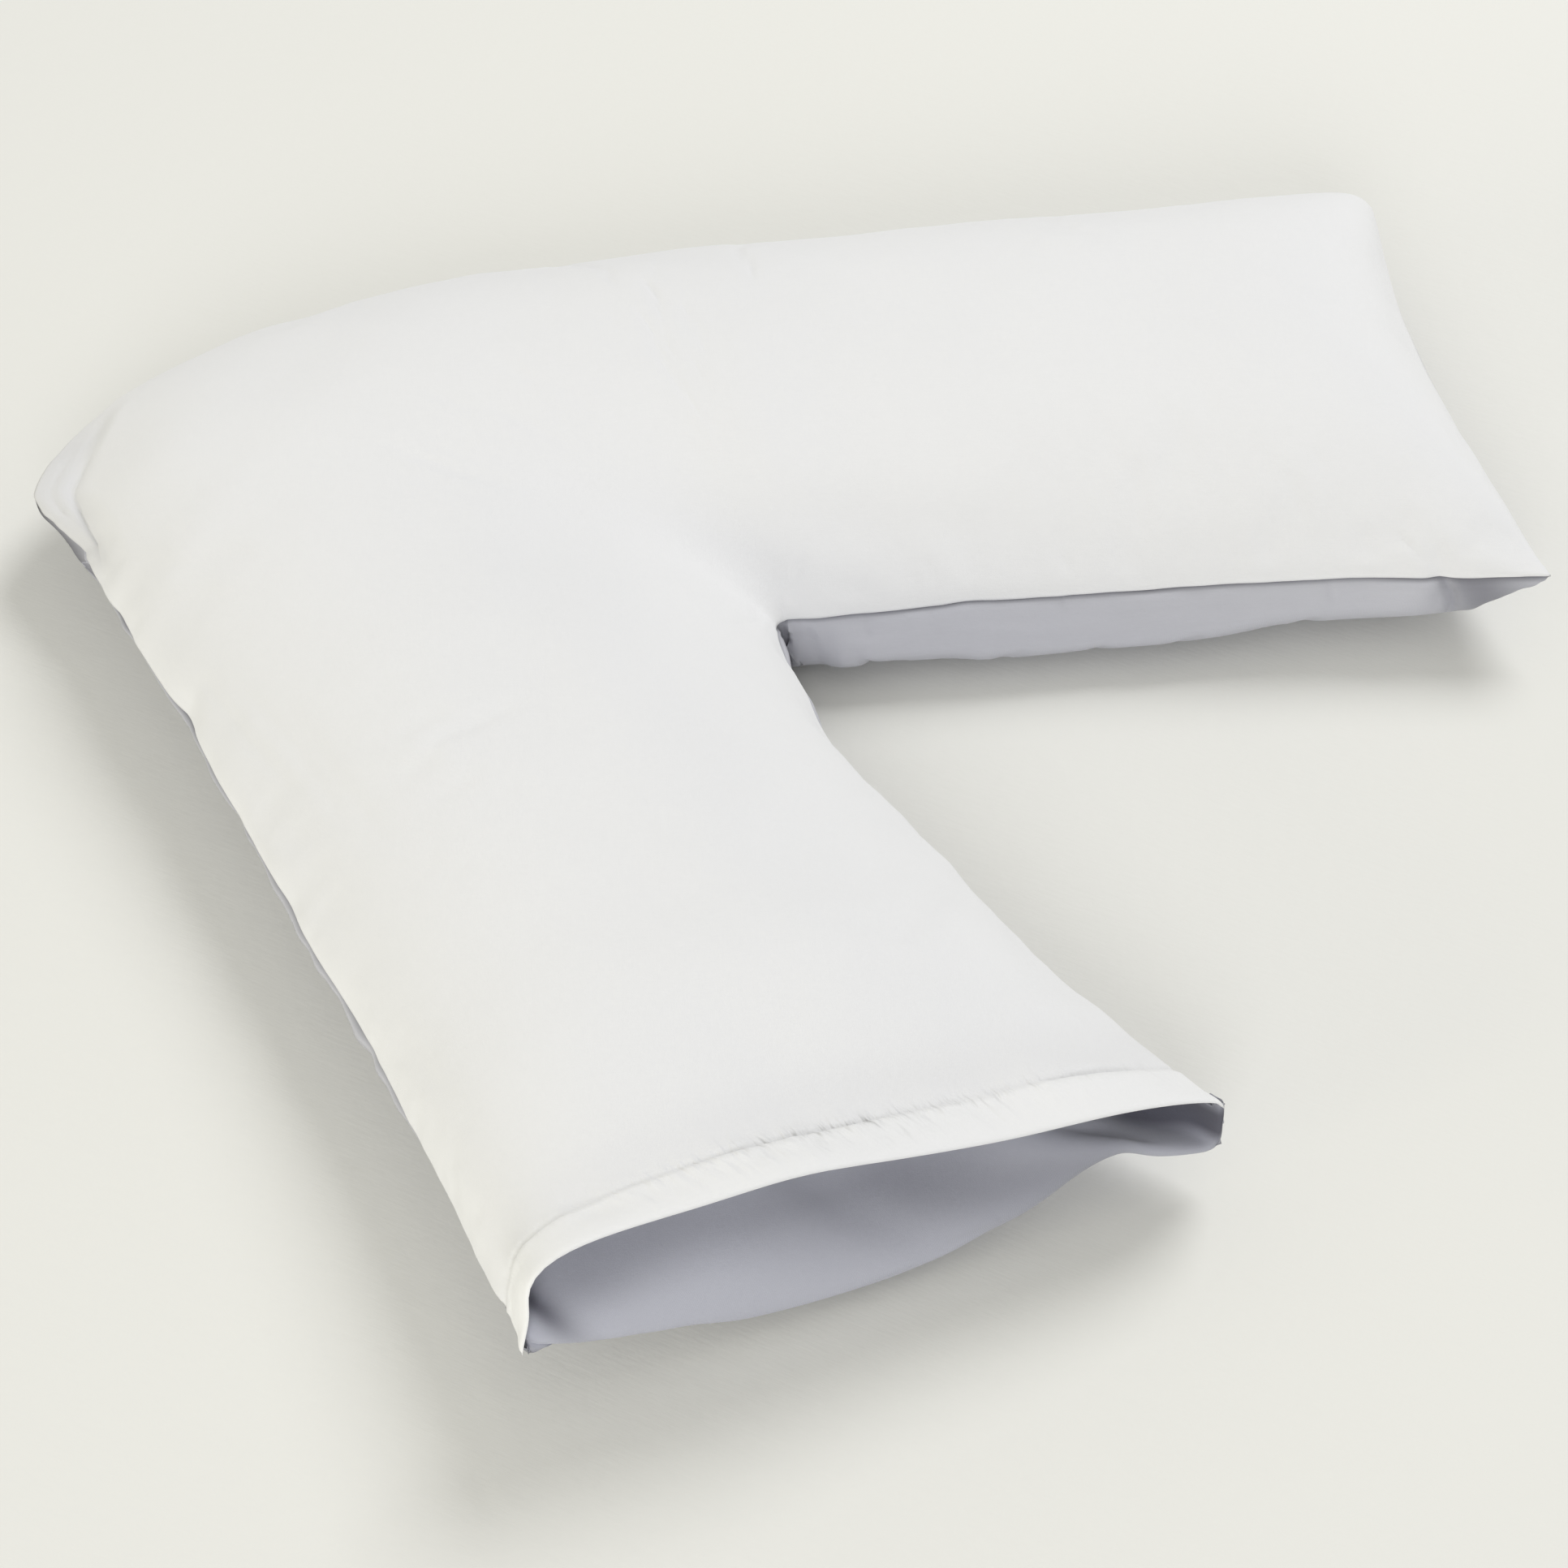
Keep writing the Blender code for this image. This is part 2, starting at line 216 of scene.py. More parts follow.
def outerLine(run):
    length = pillow["mouthOuterLength"]
    turn = (length - notchTangent) / (length + pillow["earBehind"])
    share = np.where(run <= 1, run * turn, turn + (run - 1) * (1 - turn))
    mouthArm = bowed(corners["mouthOuter"], corners["ear"],
                     pillow["mouthOuterDraw"], -outOfArm["mouth"], share)
    s = (run - 2)[:, None]
    levelTurn = np.array([cos(pillow["earHandleTurn"]), sin(pillow["earHandleTurn"])])
    second = corners["ear"] + pillow["earHandle"] * levelTurn
    third = corners["shoulder"] - pillow["shoulderHandle"] * downArm["closed"]
    apex = (1 - s)**3 * corners["ear"] + s**3 * corners["shoulder"]
    apex = apex + 3 * (1 - s)**2 * s * second + 3 * (1 - s) * s**2 * third
    length = pillow["shoulderBehind"]
    turn = (length + notchTangent) / (length + pillow["closedOuterLength"])
    share = np.where(run <= 4, (run - 3) * turn, turn + (run - 4) * (1 - turn))
    closedArm = bowed(corners["shoulder"], corners["closedOuter"],
                      pillow["closedOuterDraw"], -outOfArm["closed"], share)
    run = run[:, None]
    return np.where(run <= 2, mouthArm, np.where(run <= 3, apex, closedArm))


def innerLine(run):
    mouthArm = bowed(corners["mouthInner"], spotOn("mouth", notchTangent, 0),
                     pillow["mouthInnerDraw"], outOfArm["mouth"], run)
    closedArm = bowed(spotOn("closed", notchTangent, 0), corners["closedInner"],
                      pillow["closedInnerDraw"], outOfArm["closed"], run - 4)
    leaves = outerLine(run) - notchCentre
    angle = np.clip(np.arctan2(leaves[:, 1], leaves[:, 0]), half, pi - half)
    notch = notchCentre + pillow["notchRound"] * np.stack([np.cos(angle), np.sin(angle)], axis=1)
    run = run[:, None]
    return np.where(run <= 1, mouthArm, np.where(run >= 4, closedArm, notch))


def lineUp(run, side):
    # everything about the sections that the upper and lower cloth share
    run, side = np.asarray(run, float), np.asarray(side, float)
    inner, outer = innerLine(run), outerLine(run)
    width = np.linalg.norm(outer - inner, axis=1)
    share = ((1 + side) / 2)[None, :, None]
    spot = inner[:, None] + (outer - inner)[:, None] * share
    draw = pillow["closedEndDraw"] * np.maximum(run - 4, 0)**3
    spot = spot - downArm["closed"] * (draw[:, None] * (1 - side**2)[None])[..., None]
    g = {name: curveThrough(girths["run"], girths[name], run)[:, None] for name in girthColumns[1:]}
    thin = 1.0
    for corner, size, share in (("ear", pillow["earSize"], pillow["earThinning"]),
                                ("closedInner", pillow["tipSize"], pillow["tipThinning"])):
        far = np.linalg.norm(spot - corners[corner], axis=2) / size
        thin = thin * (1 - share * bell(far, 1))
    return {
        "run": run[:, None], "side": side[None], "spot": spot, "thin": thin, "girth": g,
        "across": (outer - inner) / width[:, None],
        "seam": g["innerSeam"] + (g["outerSeam"] - g["innerSeam"]) * smooth((1 + side) / 2)[None],
        "fromMouth": (np.minimum(run, 1) * pillow["innerLength"])[:, None],
        "fromEnd": (np.minimum(5 - run, 1) * pillow["innerLength"])[:, None],
        "fromNotch": (np.maximum(np.maximum(1 - run, run - 4), 0) * pillow["innerLength"])[:, None],
    }


def upperCloth(run, side):
    at = lineUp(run, side)
    side, g = at["side"], at["girth"]
    crown = g["innerCrown"] + (g["outerCrown"] - g["innerCrown"]) * (1 + side) / 2
    square = np.where(side < 0, g["innerTop"], g["outerTop"])
    arch = swell(side, square, pillow["outerRise"])
    arch = np.where(side < 0, swell(side, square, pillow["innerRise"]), arch)
    dwindled = fadeIn(side, *pillow["outerCapFade"])
    cap = pillow["crownCap"] * (1 - (1 - pillow["outerCap"]) * dwindled)
    arch = arch * roundedRise(at["fromEnd"] / cap, pillow["capPower"]) * at["thin"]
    return np.dstack([at["spot"], at["seam"] + crown * arch])


def lowerCloth(run, side):
    at = lineUp(run, side)
    g = at["girth"]
    side, seam = at["side"], at["seam"]
    square = np.where(side < 0, g["innerBelly"], g["outerBelly"])
    depth = swell(side, square, pillow["outerRise"])
    depth = depth * roundedRise(at["fromEnd"] / pillow["bellyCap"], pillow["capPower"]) * at["thin"]
    grown = smooth(at["fromNotch"] / pillow["overhangGrows"])
    overhang = pillow["bellyOverhang"] * np.minimum(square, 1) * grown
    inside = np.where(at["run"] < 1, pillow["mouthArmOverhang"] * grown, overhang)
    overhang = np.where(side < 0, inside + pillow["notchOverhang"] * (1 - grown), overhang)
    out = np.sign(side) * overhang * np.sin(pi * np.minimum(depth, 1))
    spot = at["spot"] + at["across"][:, None] * out[..., None]
    floor = np.maximum(0.0, seam - (seam + pillow["floorPress"]) * depth)
    lipLine = np.minimum(curveThrough(lip["share"], lip["height"], (1 + side) / 2), seam)
    pastLip = at["fromMouth"] - pillow["lipBehindHem"]
    longer, share = pillow["pocketBelly"]
    noseLength = pillow["bellyNoseLength"] + longer * bell((1 + side) / 2, share)
    filled = roundedRise(pastLip / noseLength, pillow["bellyNosePower"])
    return np.dstack([spot, floor + (lipLine - floor) * (1 - filled)])


def rowNormals(grid):
    normals = np.cross(np.gradient(grid, axis=0), np.gradient(grid, axis=1))
    return normals / np.maximum(np.linalg.norm(normals, axis=2, keepdims=True), 1e-12)


def runningLength(points):
    return np.concatenate([[0], np.cumsum(np.linalg.norm(np.diff(points, axis=0), axis=1))])


def evenedOut(grid, shares):
    # every row of a grid, with its points at the same shares of its own length
    out = np.empty((len(grid), len(shares), 3))
    for row, points in enumerate(grid):
        length = runningLength(points)
        for axis in range(3):
            out[row, :, axis] = np.interp(shares * length[-1], length, points[:, axis])
    return out


def easedAlong(grid, widths):
    # every column of a grid, smoothed along its length over its own width
    out = grid.copy()
    perWidth, reach = mesh["easingSteps"]
    kernel = np.exp(-(np.arange(-reach, reach + 1) / perWidth)**2 / 2)
    for column, width in enumerate(widths):
        if width < mesh["leastEasing"]:
            continue
        length = runningLength(grid[:, column])
        even = np.linspace(0, length[-1], int(perWidth * length[-1] / width))
        for axis in range(3):
            line = np.interp(even, length, grid[:, column, axis])
            before = 2 * line[0] - line[reach:0:-1]
            after = 2 * line[-1] - line[-2:-2 - reach:-1]
            line = np.convolve(np.concatenate([before, line, after]), kernel / kernel.sum(), "valid")
            out[:, column, axis] = np.interp(length, even, line)
    return out


class Face:
    # one side of the pillow's cloth: a grid of points from seam to seam, and
    # how far over the cloth each lies from the seams and from the mouth
    def __init__(self, points, outward=1):
        self.points, self.outward = points, outward
        steps = np.linalg.norm(np.diff(points, axis=1), axis=2)
        self.fromInner = np.concatenate([np.zeros((len(points), 1)), np.cumsum(steps, axis=1)], axis=1)
        self.fromOuter = self.fromInner[:, -1:] - self.fromInner
        self.toSeam = np.minimum(self.fromInner, self.fromOuter)
        self.alongInner, self.alongOuter = (
            runningLength(points[:, k])[:, None] + 0 * self.fromInner for k in (0, -1))

    def normals(self):
        return rowNormals(self.points) * self.outward

    def push(self, height):
        self.points = self.points + self.normals() * height[..., None]

    def fade(self):
        # 0 on the rim of the grid, 1 from a centimetre in
        length = runningLength(self.points[:, len(self.points[0]) // 2])[:, None]
        toRim = np.minimum(self.toSeam, np.minimum(length, length[-1] - length))
        return smooth(toRim / mesh["rimFade"])

    def crease(self, seam, startAlong, startIn, endAlong, endIn, width, depth, bow):
        # a soft trough, or a ridge where depth is below 0, on a bowed line whose
        # ends are given by how far along the seam and how far in from it they lie
        inner = seam == "inner"
        along = (self.alongInner if inner else self.alongOuter) - startAlong
        inward = (self.fromInner if inner else self.fromOuter) - startIn
        line = np.array([endAlong - startAlong, endIn - startIn])
        length = np.hypot(*line)
        u, v = line / length
        share = (along * u + inward * v) / length
        aside = inward * u - along * v - bow * 4 * share.clip(0, 1) * (1 - share.clip(0, 1))
        ends = smooth(share / mesh["creaseEnds"]) * smooth((1 - share) / mesh["creaseEnds"])
        return -depth * ends * bell(aside, width)

    def relief(self, cloth, seed):
        # a cloth's creases and its undulations, each a (size, height) row
        total = 0.0
        for seam in ("inner", "outer"):
            for row in cloth.get(seam + "Creases", ()):
                total = total + self.crease(seam, *row)
        for number, (size, height) in enumerate(cloth["undulations"]):
            total = total + height * ripple(self.points, size, seed + number)
        return total

    def gathered(self, waves, seed):
        inner = gathers(self.alongInner, self.fromInner, waves, seed)
        return inner + gathers(self.alongOuter, self.fromOuter, waves, seed + 100)


def marks(u, v, spots):
    # soft swellings and dents: each spot a (u, v, turn, long, wide, height) row
    total = 0.0
    for atU, atV, turn, long, wide, height in spots:
        turn = radians(turn)
        lengthwise = (u - atU) * cos(turn) + (v - atV) * sin(turn)
        aside = (v - atV) * cos(turn) - (u - atU) * sin(turn)
        total = total + height * np.exp(-(lengthwise / long)**2 - (aside / wide)**2)
    return total


def wobble(along, length, seed):
    # smooth noise from -1 to 1 along a line
    count = mesh["wobbleKnots"]
    knots = np.random.default_rng(seed).uniform(-1, 1, count)
    place = np.asarray(along) / length
    k = np.floor(place).astype(int)
    s = smooth(place - k)
    return knots[k % count] * (1 - s) + knots[(k + 1) % count] * s


def ripple(points, size, seed):
    # smooth noise from -1 to 1 over the plan
    count = mesh["rippleKnots"]
    knots = np.random.default_rng(seed).uniform(-1, 1, (count, count))
    moved, slope = mesh["rippleMoved"], mesh["rippleSlope"]
    u, v = points[..., 0] / size + moved, (points[..., 1] + slope * points[..., 2]) / size + moved
    i, j = np.floor(u).astype(int), np.floor(v).astype(int)
    s, t = smooth(u - i), smooth(v - j)
    near, far = (knots[i % count, k % count] * (1 - s) + knots[(i + 1) % count, k % count] * s
                 for k in (j, j + 1))
    return near * (1 - t) + far * t


# How much the gathers vary along a seam, and over how many of their own lengths.
pucker = {
    "reachBy": 0.5,
    "reachOver": 3.7,
    "leastHeight": 0.65,
    "heightOver": 8,
    "leanBy": 0.25,
    "leanOver": 5,
    "offSeam": 0.003,  # flat this close to the seam
}


def gathers(along, inward, waves, seed):
    # puckers that run in from a seam, each wave a (length, reach, height) row
    total = 0.0
    for number, (length, reach, height) in enumerate(waves, seed):
        deep = reach * (1 + pucker["reachBy"] * wobble(along, pucker["reachOver"] * length, number + 10))
        strong = atLeast(pucker["leastHeight"], wobble(along, pucker["heightOver"] * length, number + 20))
        lean = pucker["leanBy"] * inward * wobble(along, pucker["leanOver"] * length, number + 30)
        total = total + height * strong * wobble(along + lean, length, number) * bell(inward, deep)
    return total * (1 - bell(inward, pucker["offSeam"]))


# Where the random draws of each pattern start.
seeds = {
    "seams": 900, "panel": 40, "panelGathers": 100, "hemGathers": 300,
    "dip": 310, "hemCreases": 320, "body": 60, "bodyGathers": 400,
}


# The corner of the case at the ear lies empty, a flat flange round the filling.
ear = {
    "from": 0.625,     # along the outer seam
    "to": 0.835,
    "fade": 0.050,
    "width": 0.018,
    "endWidth": 0.55,  # how much of that width is left at its ends
    "step": 0.024,
    "flat": 0.80,
    "lift": 0.006,
}


def besideEar(along):
    return fadeIn(along, ear["from"], ear["fade"]) * smooth((ear["to"] - along) / ear["fade"])


def flattenedEar(grid, along, inward, seam):
    ends = besideEar(along)
    width = ear["width"] * atLeast(ear["endWidth"], ends)
    flat = ends * (1 - fadeIn(inward, width, ear["step"]))
    flange = seam + ear["lift"] * ends * (inward / width).clip(0, 1)
    grid = grid.copy()
    grid[..., 2] += (flange - grid[..., 2]) * flat * ear["flat"]
    return grid


# How the cloth is laid out in rows and columns.
mesh = {
    "armRows": 180,
    "fanRows": 268,
    "columns": 120,          # on the white side; the grey side has half as many
    "edgeShare": 0.55,       # how much closer together the columns stand at the seams
    "endShare": 1.25,        # and the rows at the closed end
    "fineSides": 260,
    "easing": 0.045,         # how far the sections are eased into each other at mid width
    "outerEasing": 1.1,      # and how much more beside the outer seam than beside the inner
    "leastEasing": 0.002,
    "easingSteps": (4, 12),  # steps to one width, and how many are blended each way
    "rimFade": 0.010,
    "creaseEnds": 0.25,      # the share of a crease over which each end fades
    "wobbleKnots": 2048,
    "rippleKnots": 128,
    "rippleMoved": 50,
    "rippleSlope": 0.6,      # how far the ripples follow the height
}


def columnShares(columns, edgeShare):
    even = np.linspace(0, 1, columns + 1)
    return (1 - edgeShare) * even + edgeShare * (1 - np.cos(pi * even)) / 2


fineSides = -np.cos(np.linspace(0, pi, mesh["fineSides"]))
arm, fan = np.linspace(0, 1, mesh["armRows"] + 1), np.linspace(1, 4, mesh["fanRows"] + 1)
rows = np.concatenate([arm, fan[1:], 5 - (1 - arm[1:])**mesh["endShare"]])
shares = columnShares(mesh["columns"], mesh["edgeShare"])

upperGrid = evenedOut(upperCloth(rows, fineSides), shares)
easing = np.minimum(shares, mesh["outerEasing"] * (1 - shares)) * 2 * mesh["easing"]
top = Face(easedAlong(upperGrid, easing))
under = Face(evenedOut(lowerCloth(rows, fineSides), shares[::2]), outward=-1)
for face in (top, under):
    seamHeight = face.points[:, -1, 2][:, None]
    face.points = flattenedEar(face.points, face.alongOuter, face.fromOuter, seamHeight)
outward = lineUp(rows, np.array([0.0]))["across"]
fromMouth = runningLength(upperCloth(rows, np.array([0.0]))[:, 0])[:, None]


# The seams wander a little and are drawn in where the cloth is gathered, in rows
# of (along the seam, how much of it, drawn in, raised, reach below). A slip, (along,
# how much, in), is where the white cloth alone is drawn in, so that the grey's edge
# shows. A bulge, (along, how much, out), is where the grey cloth swells out below.
seams = {
    "wander": ((0.011, 0.0003), (0.028, 0.0006), (0.075, 0.0010)),
    "upSize": 0.6,                 # beside what it is sideways
    "upLength": 1.3,
    "start": (0.002, 0.012),       # behind the mouth: from, over
    "fade": 0.022,
    "outerPulls": (
        (0.646, 0.016, 0.0026, -0.001, 0.022), (0.616, 0.01, 0.0008, 0.0, 0.022),
        (0.512, 0.012, 0.0014, 0.0, 0.022), (0.36, 0.1, -0.0044, 0.0, 0.022),
        (0.342, 0.011, 0.001, 0.0, 0.022), (0.72, 0.014, -0.0036, -0.001, 0.022),
        (0.012, 0.02, 0.0025, 0.0, 0.022),
    ),
    "innerPulls": (
        (0.438, 0.034, 0.006, 0.0, 0.04), (0.364, 0.045, 0.0056, 0.0, 0.04),
        (0.345, 0.055, 0.005, 0.0, 0.04), (0.857, 0.006, 0.0018, 0.0, 0.022),
        (0.575, 0.016, 0.0008, 0.001, 0.022), (0.511, 0.012, 0.001, 0.0, 0.022),
    ),
    "slipUneven": (0.3, 0.007),    # by, over what length
    "bulgeUneven": (0.75, 0.014),  # at least, over what length
    "bulgeClear": 0.001,
    "bulgeIn": 0.0055,
    "bulgeWidth": 0.0036,
    "outerBulges": (
        (0.48, 0.17, 0.0058), (0.25, 0.11, 0.0062), (0.672, 0.02, 0.003), (0.512, 0.013, 0.003),
        (0.4, 0.01, 0.0012), (1.66, 0.022, 0.005),
    ),
    "innerBulges": (
        (0.448, 0.014, 0.005), (0.25, 0.06, 0.002), (0.07, 0.02, 0.003),
    ),
    "outerSlips": (
        (0.714, 0.014, 0.004), (0.678, 0.021, 0.007), (0.604, 0.016, 0.0026), (0.505, 0.014, 0.0018),
    ),
    "innerSlips": (),
}


def wander(face, seed):
    # moves a face along its two seams, and the lower cloth a little further out
    pulled = np.zeros_like(face.points)
    below = face.outward < 0
    start = fadeIn(fromMouth, *seams["start"])
    slipBy, slipOver = seams["slipUneven"]
    leastBulge, bulgeOver = seams["bulgeUneven"]
    for sign, along, inward, side in ((-1, face.alongInner, face.fromInner, "inner"),
                                      (1, face.alongOuter, face.fromOuter, "outer")):
        near = bell(inward, seams["fade"])
        out, up = 0.0, 0.0
        for number, (length, size) in enumerate(seams["wander"]):
            draw = seed + 7 * number + sign
            out = out + size * wobble(along, length, draw) * near * start
            size, length = seams["upSize"] * size, seams["upLength"] * length
            up = up + size * wobble(along, length, draw + 50) * near * start
        for place, width, drawn, raised, reach in seams[side + "Pulls"]:
            pull = bell(along - place, width) * start * bell(inward, reach if below else seams["fade"])
            out, up = out - drawn * pull, up + raised * pull
        for place, width, size in () if below else seams[side + "Slips"]:
            slip = size * bell(along - place, width) * near
            out = out - slip * (1 + slipBy * wobble(along, slipOver, seed + 95))
        for place, width, size in seams[side + "Bulges"] if below else ():
            bulge = size * atLeast(leastBulge, wobble(along, bulgeOver, seed + 90))
            profile = bell(inward - seams["bulgeIn"], seams["bulgeWidth"]) - bell(inward, seams["bulgeClear"])
            out = out + bulge * bell(along - place, width) * start * profile.clip(0, 1)
        pulled[..., :2] += sign * outward[:, None] * out[..., None]
        pulled[..., 2] += up
    face.points = face.points + pulled


for face in (top, under):
    wander(face, seeds["seams"])
print("sections laid out:", top.points.shape[:2])


def linked(name, data):
    made = bpy.data.objects.new(name, data)
    bpy.context.collection.objects.link(made)
    return made


def meshed(name, points, faces):
    shape = bpy.data.meshes.new(name)
    shape.from_pydata([tuple(p) for p in points], [], faces)
    return linked(name, shape)


def addPiece(name, points, faces, material, layers):
    # a mesh that rides on the pillow, with its layers of one value a point
    piece = meshed(name, points, faces)
    piece.data.shade_smooth()
    for layer, values in layers.items():
        layer = piece.data.attributes.new(layer, "FLOAT", "POINT")
        layer.data.foreach_set("value", np.asarray(values, np.float32))
    piece.data.materials.append(material)
    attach(piece, "root")
    return piece


def numbered(grid, first=0):
    return first + np.arange(grid[..., 0].size).reshape(grid.shape[:2])


def quads(number, turned=False):
    # the faces between the numbered points of a grid
    a, b, c, d = number[:-1, :-1], number[1:, :-1], number[1:, 1:], number[:-1, 1:]
    return np.stack([a, d, c, b] if turned else [a, b, c, d], axis=-1).reshape(-1, 4).tolist()


def rimOf(number):
    # the numbers round the edge of a grid, in order
    return np.concatenate([number[:, 0], number[-1, 1:], number[-2::-1, -1], number[0, -2:0:-1]])


def sheetShape(front, back):
    # a closed sheet whose hidden back has every second row and column
    back = back[::2, ::2]
    number = numbered(front)
    behind = numbered(back, number.size)
    rim, rimBehind = rimOf(number), rimOf(behind)
    side = np.stack([rim[::2], rimBehind, np.roll(rimBehind, -1),
                     np.roll(rim, -2)[::2], np.roll(rim, -1)[::2]], axis=-1)
    points = np.concatenate([front.reshape(-1, 3), back.reshape(-1, 3)])
    return points, quads(number) + quads(behind, turned=True) + side.tolist()


def onSheet(values):
    # a value for each point of a sheet, its coarser back included
    return np.concatenate([values.reshape(-1), values[::2, ::2].reshape(-1)])


def lensShape(upper, lower):
    # a closed body of two grids that share their rim
    number = numbered(upper)
    below = number.copy()
    below[1:-1, 1:-1] = numbered(lower[1:-1, 1:-1], number.size)
    points = np.concatenate([upper.reshape(-1, 3), lower[1:-1, 1:-1].reshape(-1, 3)])
    return points, quads(number) + quads(below, turned=True)


def keptUnder(grid, cover, room, farthest=0.02, aside=0.001):
    # a grid's points, moved in where they come closer than some room to the cover over them
    tree = BVHTree.FromPolygons(cover.reshape(-1, 3).tolist(), quads(numbered(cover)))
    moved = grid.copy()
    for row, column in np.ndindex(*grid.shape[:2]):
        point = Vector(grid[row, column])
        place, normal = tree.find_nearest(point, farthest)[:2]
        if place is None:
            continue
        above = (point - place).dot(normal)
        if above > -room and (point - place - normal * above).length < aside:
            moved[row, column] -= np.array(normal) * (above + room)
    return moved


# The case as sewn cloth, a little loose and blown up by its filling. Its seams and
# what lies on the floor are held fast, and the folds that form go onto both faces.
soft = {
    "rowStep": 4,
    "columnStep": 4,  # of the white face's columns, and half as many of the grey's
    "onFloor": 0.002,
    "looseness": 0.006,
    "pressure": 4.0,
    "quality": 5,
    "mass": 0.3,
    "stretchStiffness": 15.0,
    "shearStiffness": 5.0,
    "bendStiffness": 0.5,
    "frames": 20,
    "formBlur": 12,   # rounds of blur that tell the form, which stays, from its folds
    "foldBlur": 3,
    "cap": 0.0012,    # how far a point may move
    # where the folds fade in: from, over
    "behindHem": (0.030, 0.050),
    "thickness": (0.010, 0.030),
    "offFloor": 0.012,
}


def besides(grid):
    # the four neighbours of each inner point of a grid, added up
    return grid[:-2, 1:-1] + grid[2:, 1:-1] + grid[1:-1, :-2] + grid[1:-1, 2:]


def blurred(values, rounds):
    for number in range(rounds):
        values = values / 2 + besides(np.pad(values, 1, mode="edge")) / 8
    return values


def spreadOut(values, rowsAt, columnsAt, shape):
    # a coarse grid's values on a fine grid
    lines = np.stack([np.interp(np.arange(shape[1]), columnsAt, line) for line in values])
    return np.stack([np.interp(np.arange(shape[0]), rowsAt, line) for line in lines.T], axis=1)


def blownUp(points, faces, held):
    # the points of a closed case after its filling has pressed on it
    case = meshed("loose case", points, faces)
    case.vertex_groups.new(name="held").add([int(k) for k in held], 1.0, "REPLACE")
    cloth = case.modifiers.new("cloth", "CLOTH")
    settings = cloth.settings
    settings.quality, settings.mass = soft["quality"], soft["mass"]
    settings.tension_stiffness = settings.compression_stiffness = soft["stretchStiffness"]
    settings.shear_stiffness, settings.bending_stiffness = soft["shearStiffness"], soft["bendStiffness"]
    settings.use_pressure, settings.uniform_pressure_force = True, soft["pressure"]
    settings.effector_weights.gravity = 0
    settings.vertex_group_mass = "held"
    settings.shrink_min = -soft["looseness"]
    cloth.point_cache.frame_end = soft["frames"]
    for number in range(1, soft["frames"] + 1):
        bpy.context.scene.frame_set(number)
    blown = case.evaluated_get(bpy.context.evaluated_depsgraph_get()).to_mesh()
    after = np.array([corner.co for corner in blown.vertices])
    shape = case.data
    bpy.data.objects.remove(case)
    bpy.data.meshes.remove(shape)
    bpy.context.scene.frame_set(1)
    return after


rowsAt = np.append(np.arange(0, len(rows) - 1, soft["rowStep"]), len(rows) - 1)
columnsAt = {top: np.arange(0, mesh["columns"] + 1, soft["columnStep"])}
columnsAt[under] = columnsAt[top] // 2
coarse = {face: face.points[rowsAt][:, columnsAt[face]] for face in (top, under)}
points, faces = lensShape(coarse[top], coarse[under])
number = numbered(coarse[top])
resting = number.size + np.flatnonzero(points[number.size:, 2] < soft["onFloor"])
moves = blownUp(points, faces, set(rimOf(number)) | set(resting)) - points
moved = {top: moves[:number.size].reshape(coarse[top].shape), under: np.zeros_like(coarse[under])}
moved[under][1:-1, 1:-1] = moves[number.size:].reshape(moved[under][1:-1, 1:-1].shape)
thickness = {under: np.linalg.norm(top.points[:, ::2] - under.points, axis=2)}
everyColumn = 2 * np.arange(thickness[under].shape[1])
thickness[top] = spreadOut(thickness[under], np.arange(len(rows)), everyColumn, top.points.shape)
for face in (top, under):
    rise = (moved[face] * rowNormals(coarse[face]) * face.outward).sum(axis=2)
    folds = spreadOut(rise - blurred(rise, soft["formBlur"]), rowsAt, columnsAt[face], face.points.shape)
    folds = soft["cap"] * np.tanh(blurred(folds, soft["foldBlur"]) / soft["cap"])
    folds = folds * fadeIn(thickness[face], *soft["thickness"]) * face.fade()
    folds = folds * fadeIn(fromMouth, *soft["behindHem"]) * smooth(face.points[..., 2] / soft["offFloor"])
    face.push(folds)
print("filling blown up:", len(points), "points")


class Wire:
    # a shader socket that takes part in sums
    def __init__(self, paint, socket):
        self.paint, self.socket = paint, socket

    def math(self, operation, *others):
        return self.paint.node("ShaderNodeMath", {"operation": operation}, dict(enumerate((self, *others))))

    def __add__(self, other):
        return self.math("ADD", other)

    def __mul__(self, other):
        return self.math("MULTIPLY", other)

    def __sub__(self, other):
        return self.math("SUBTRACT", other)

    def __rsub__(self, other):
        return self.paint.node("ShaderNodeMath", {"operation": "SUBTRACT"}, {0: other, 1: self})

    __radd__, __rmul__ = __add__, __mul__

    def bell(self, width):
        share = self * (1 / width)
        return (share * share * -1.0).math("EXPONENT")


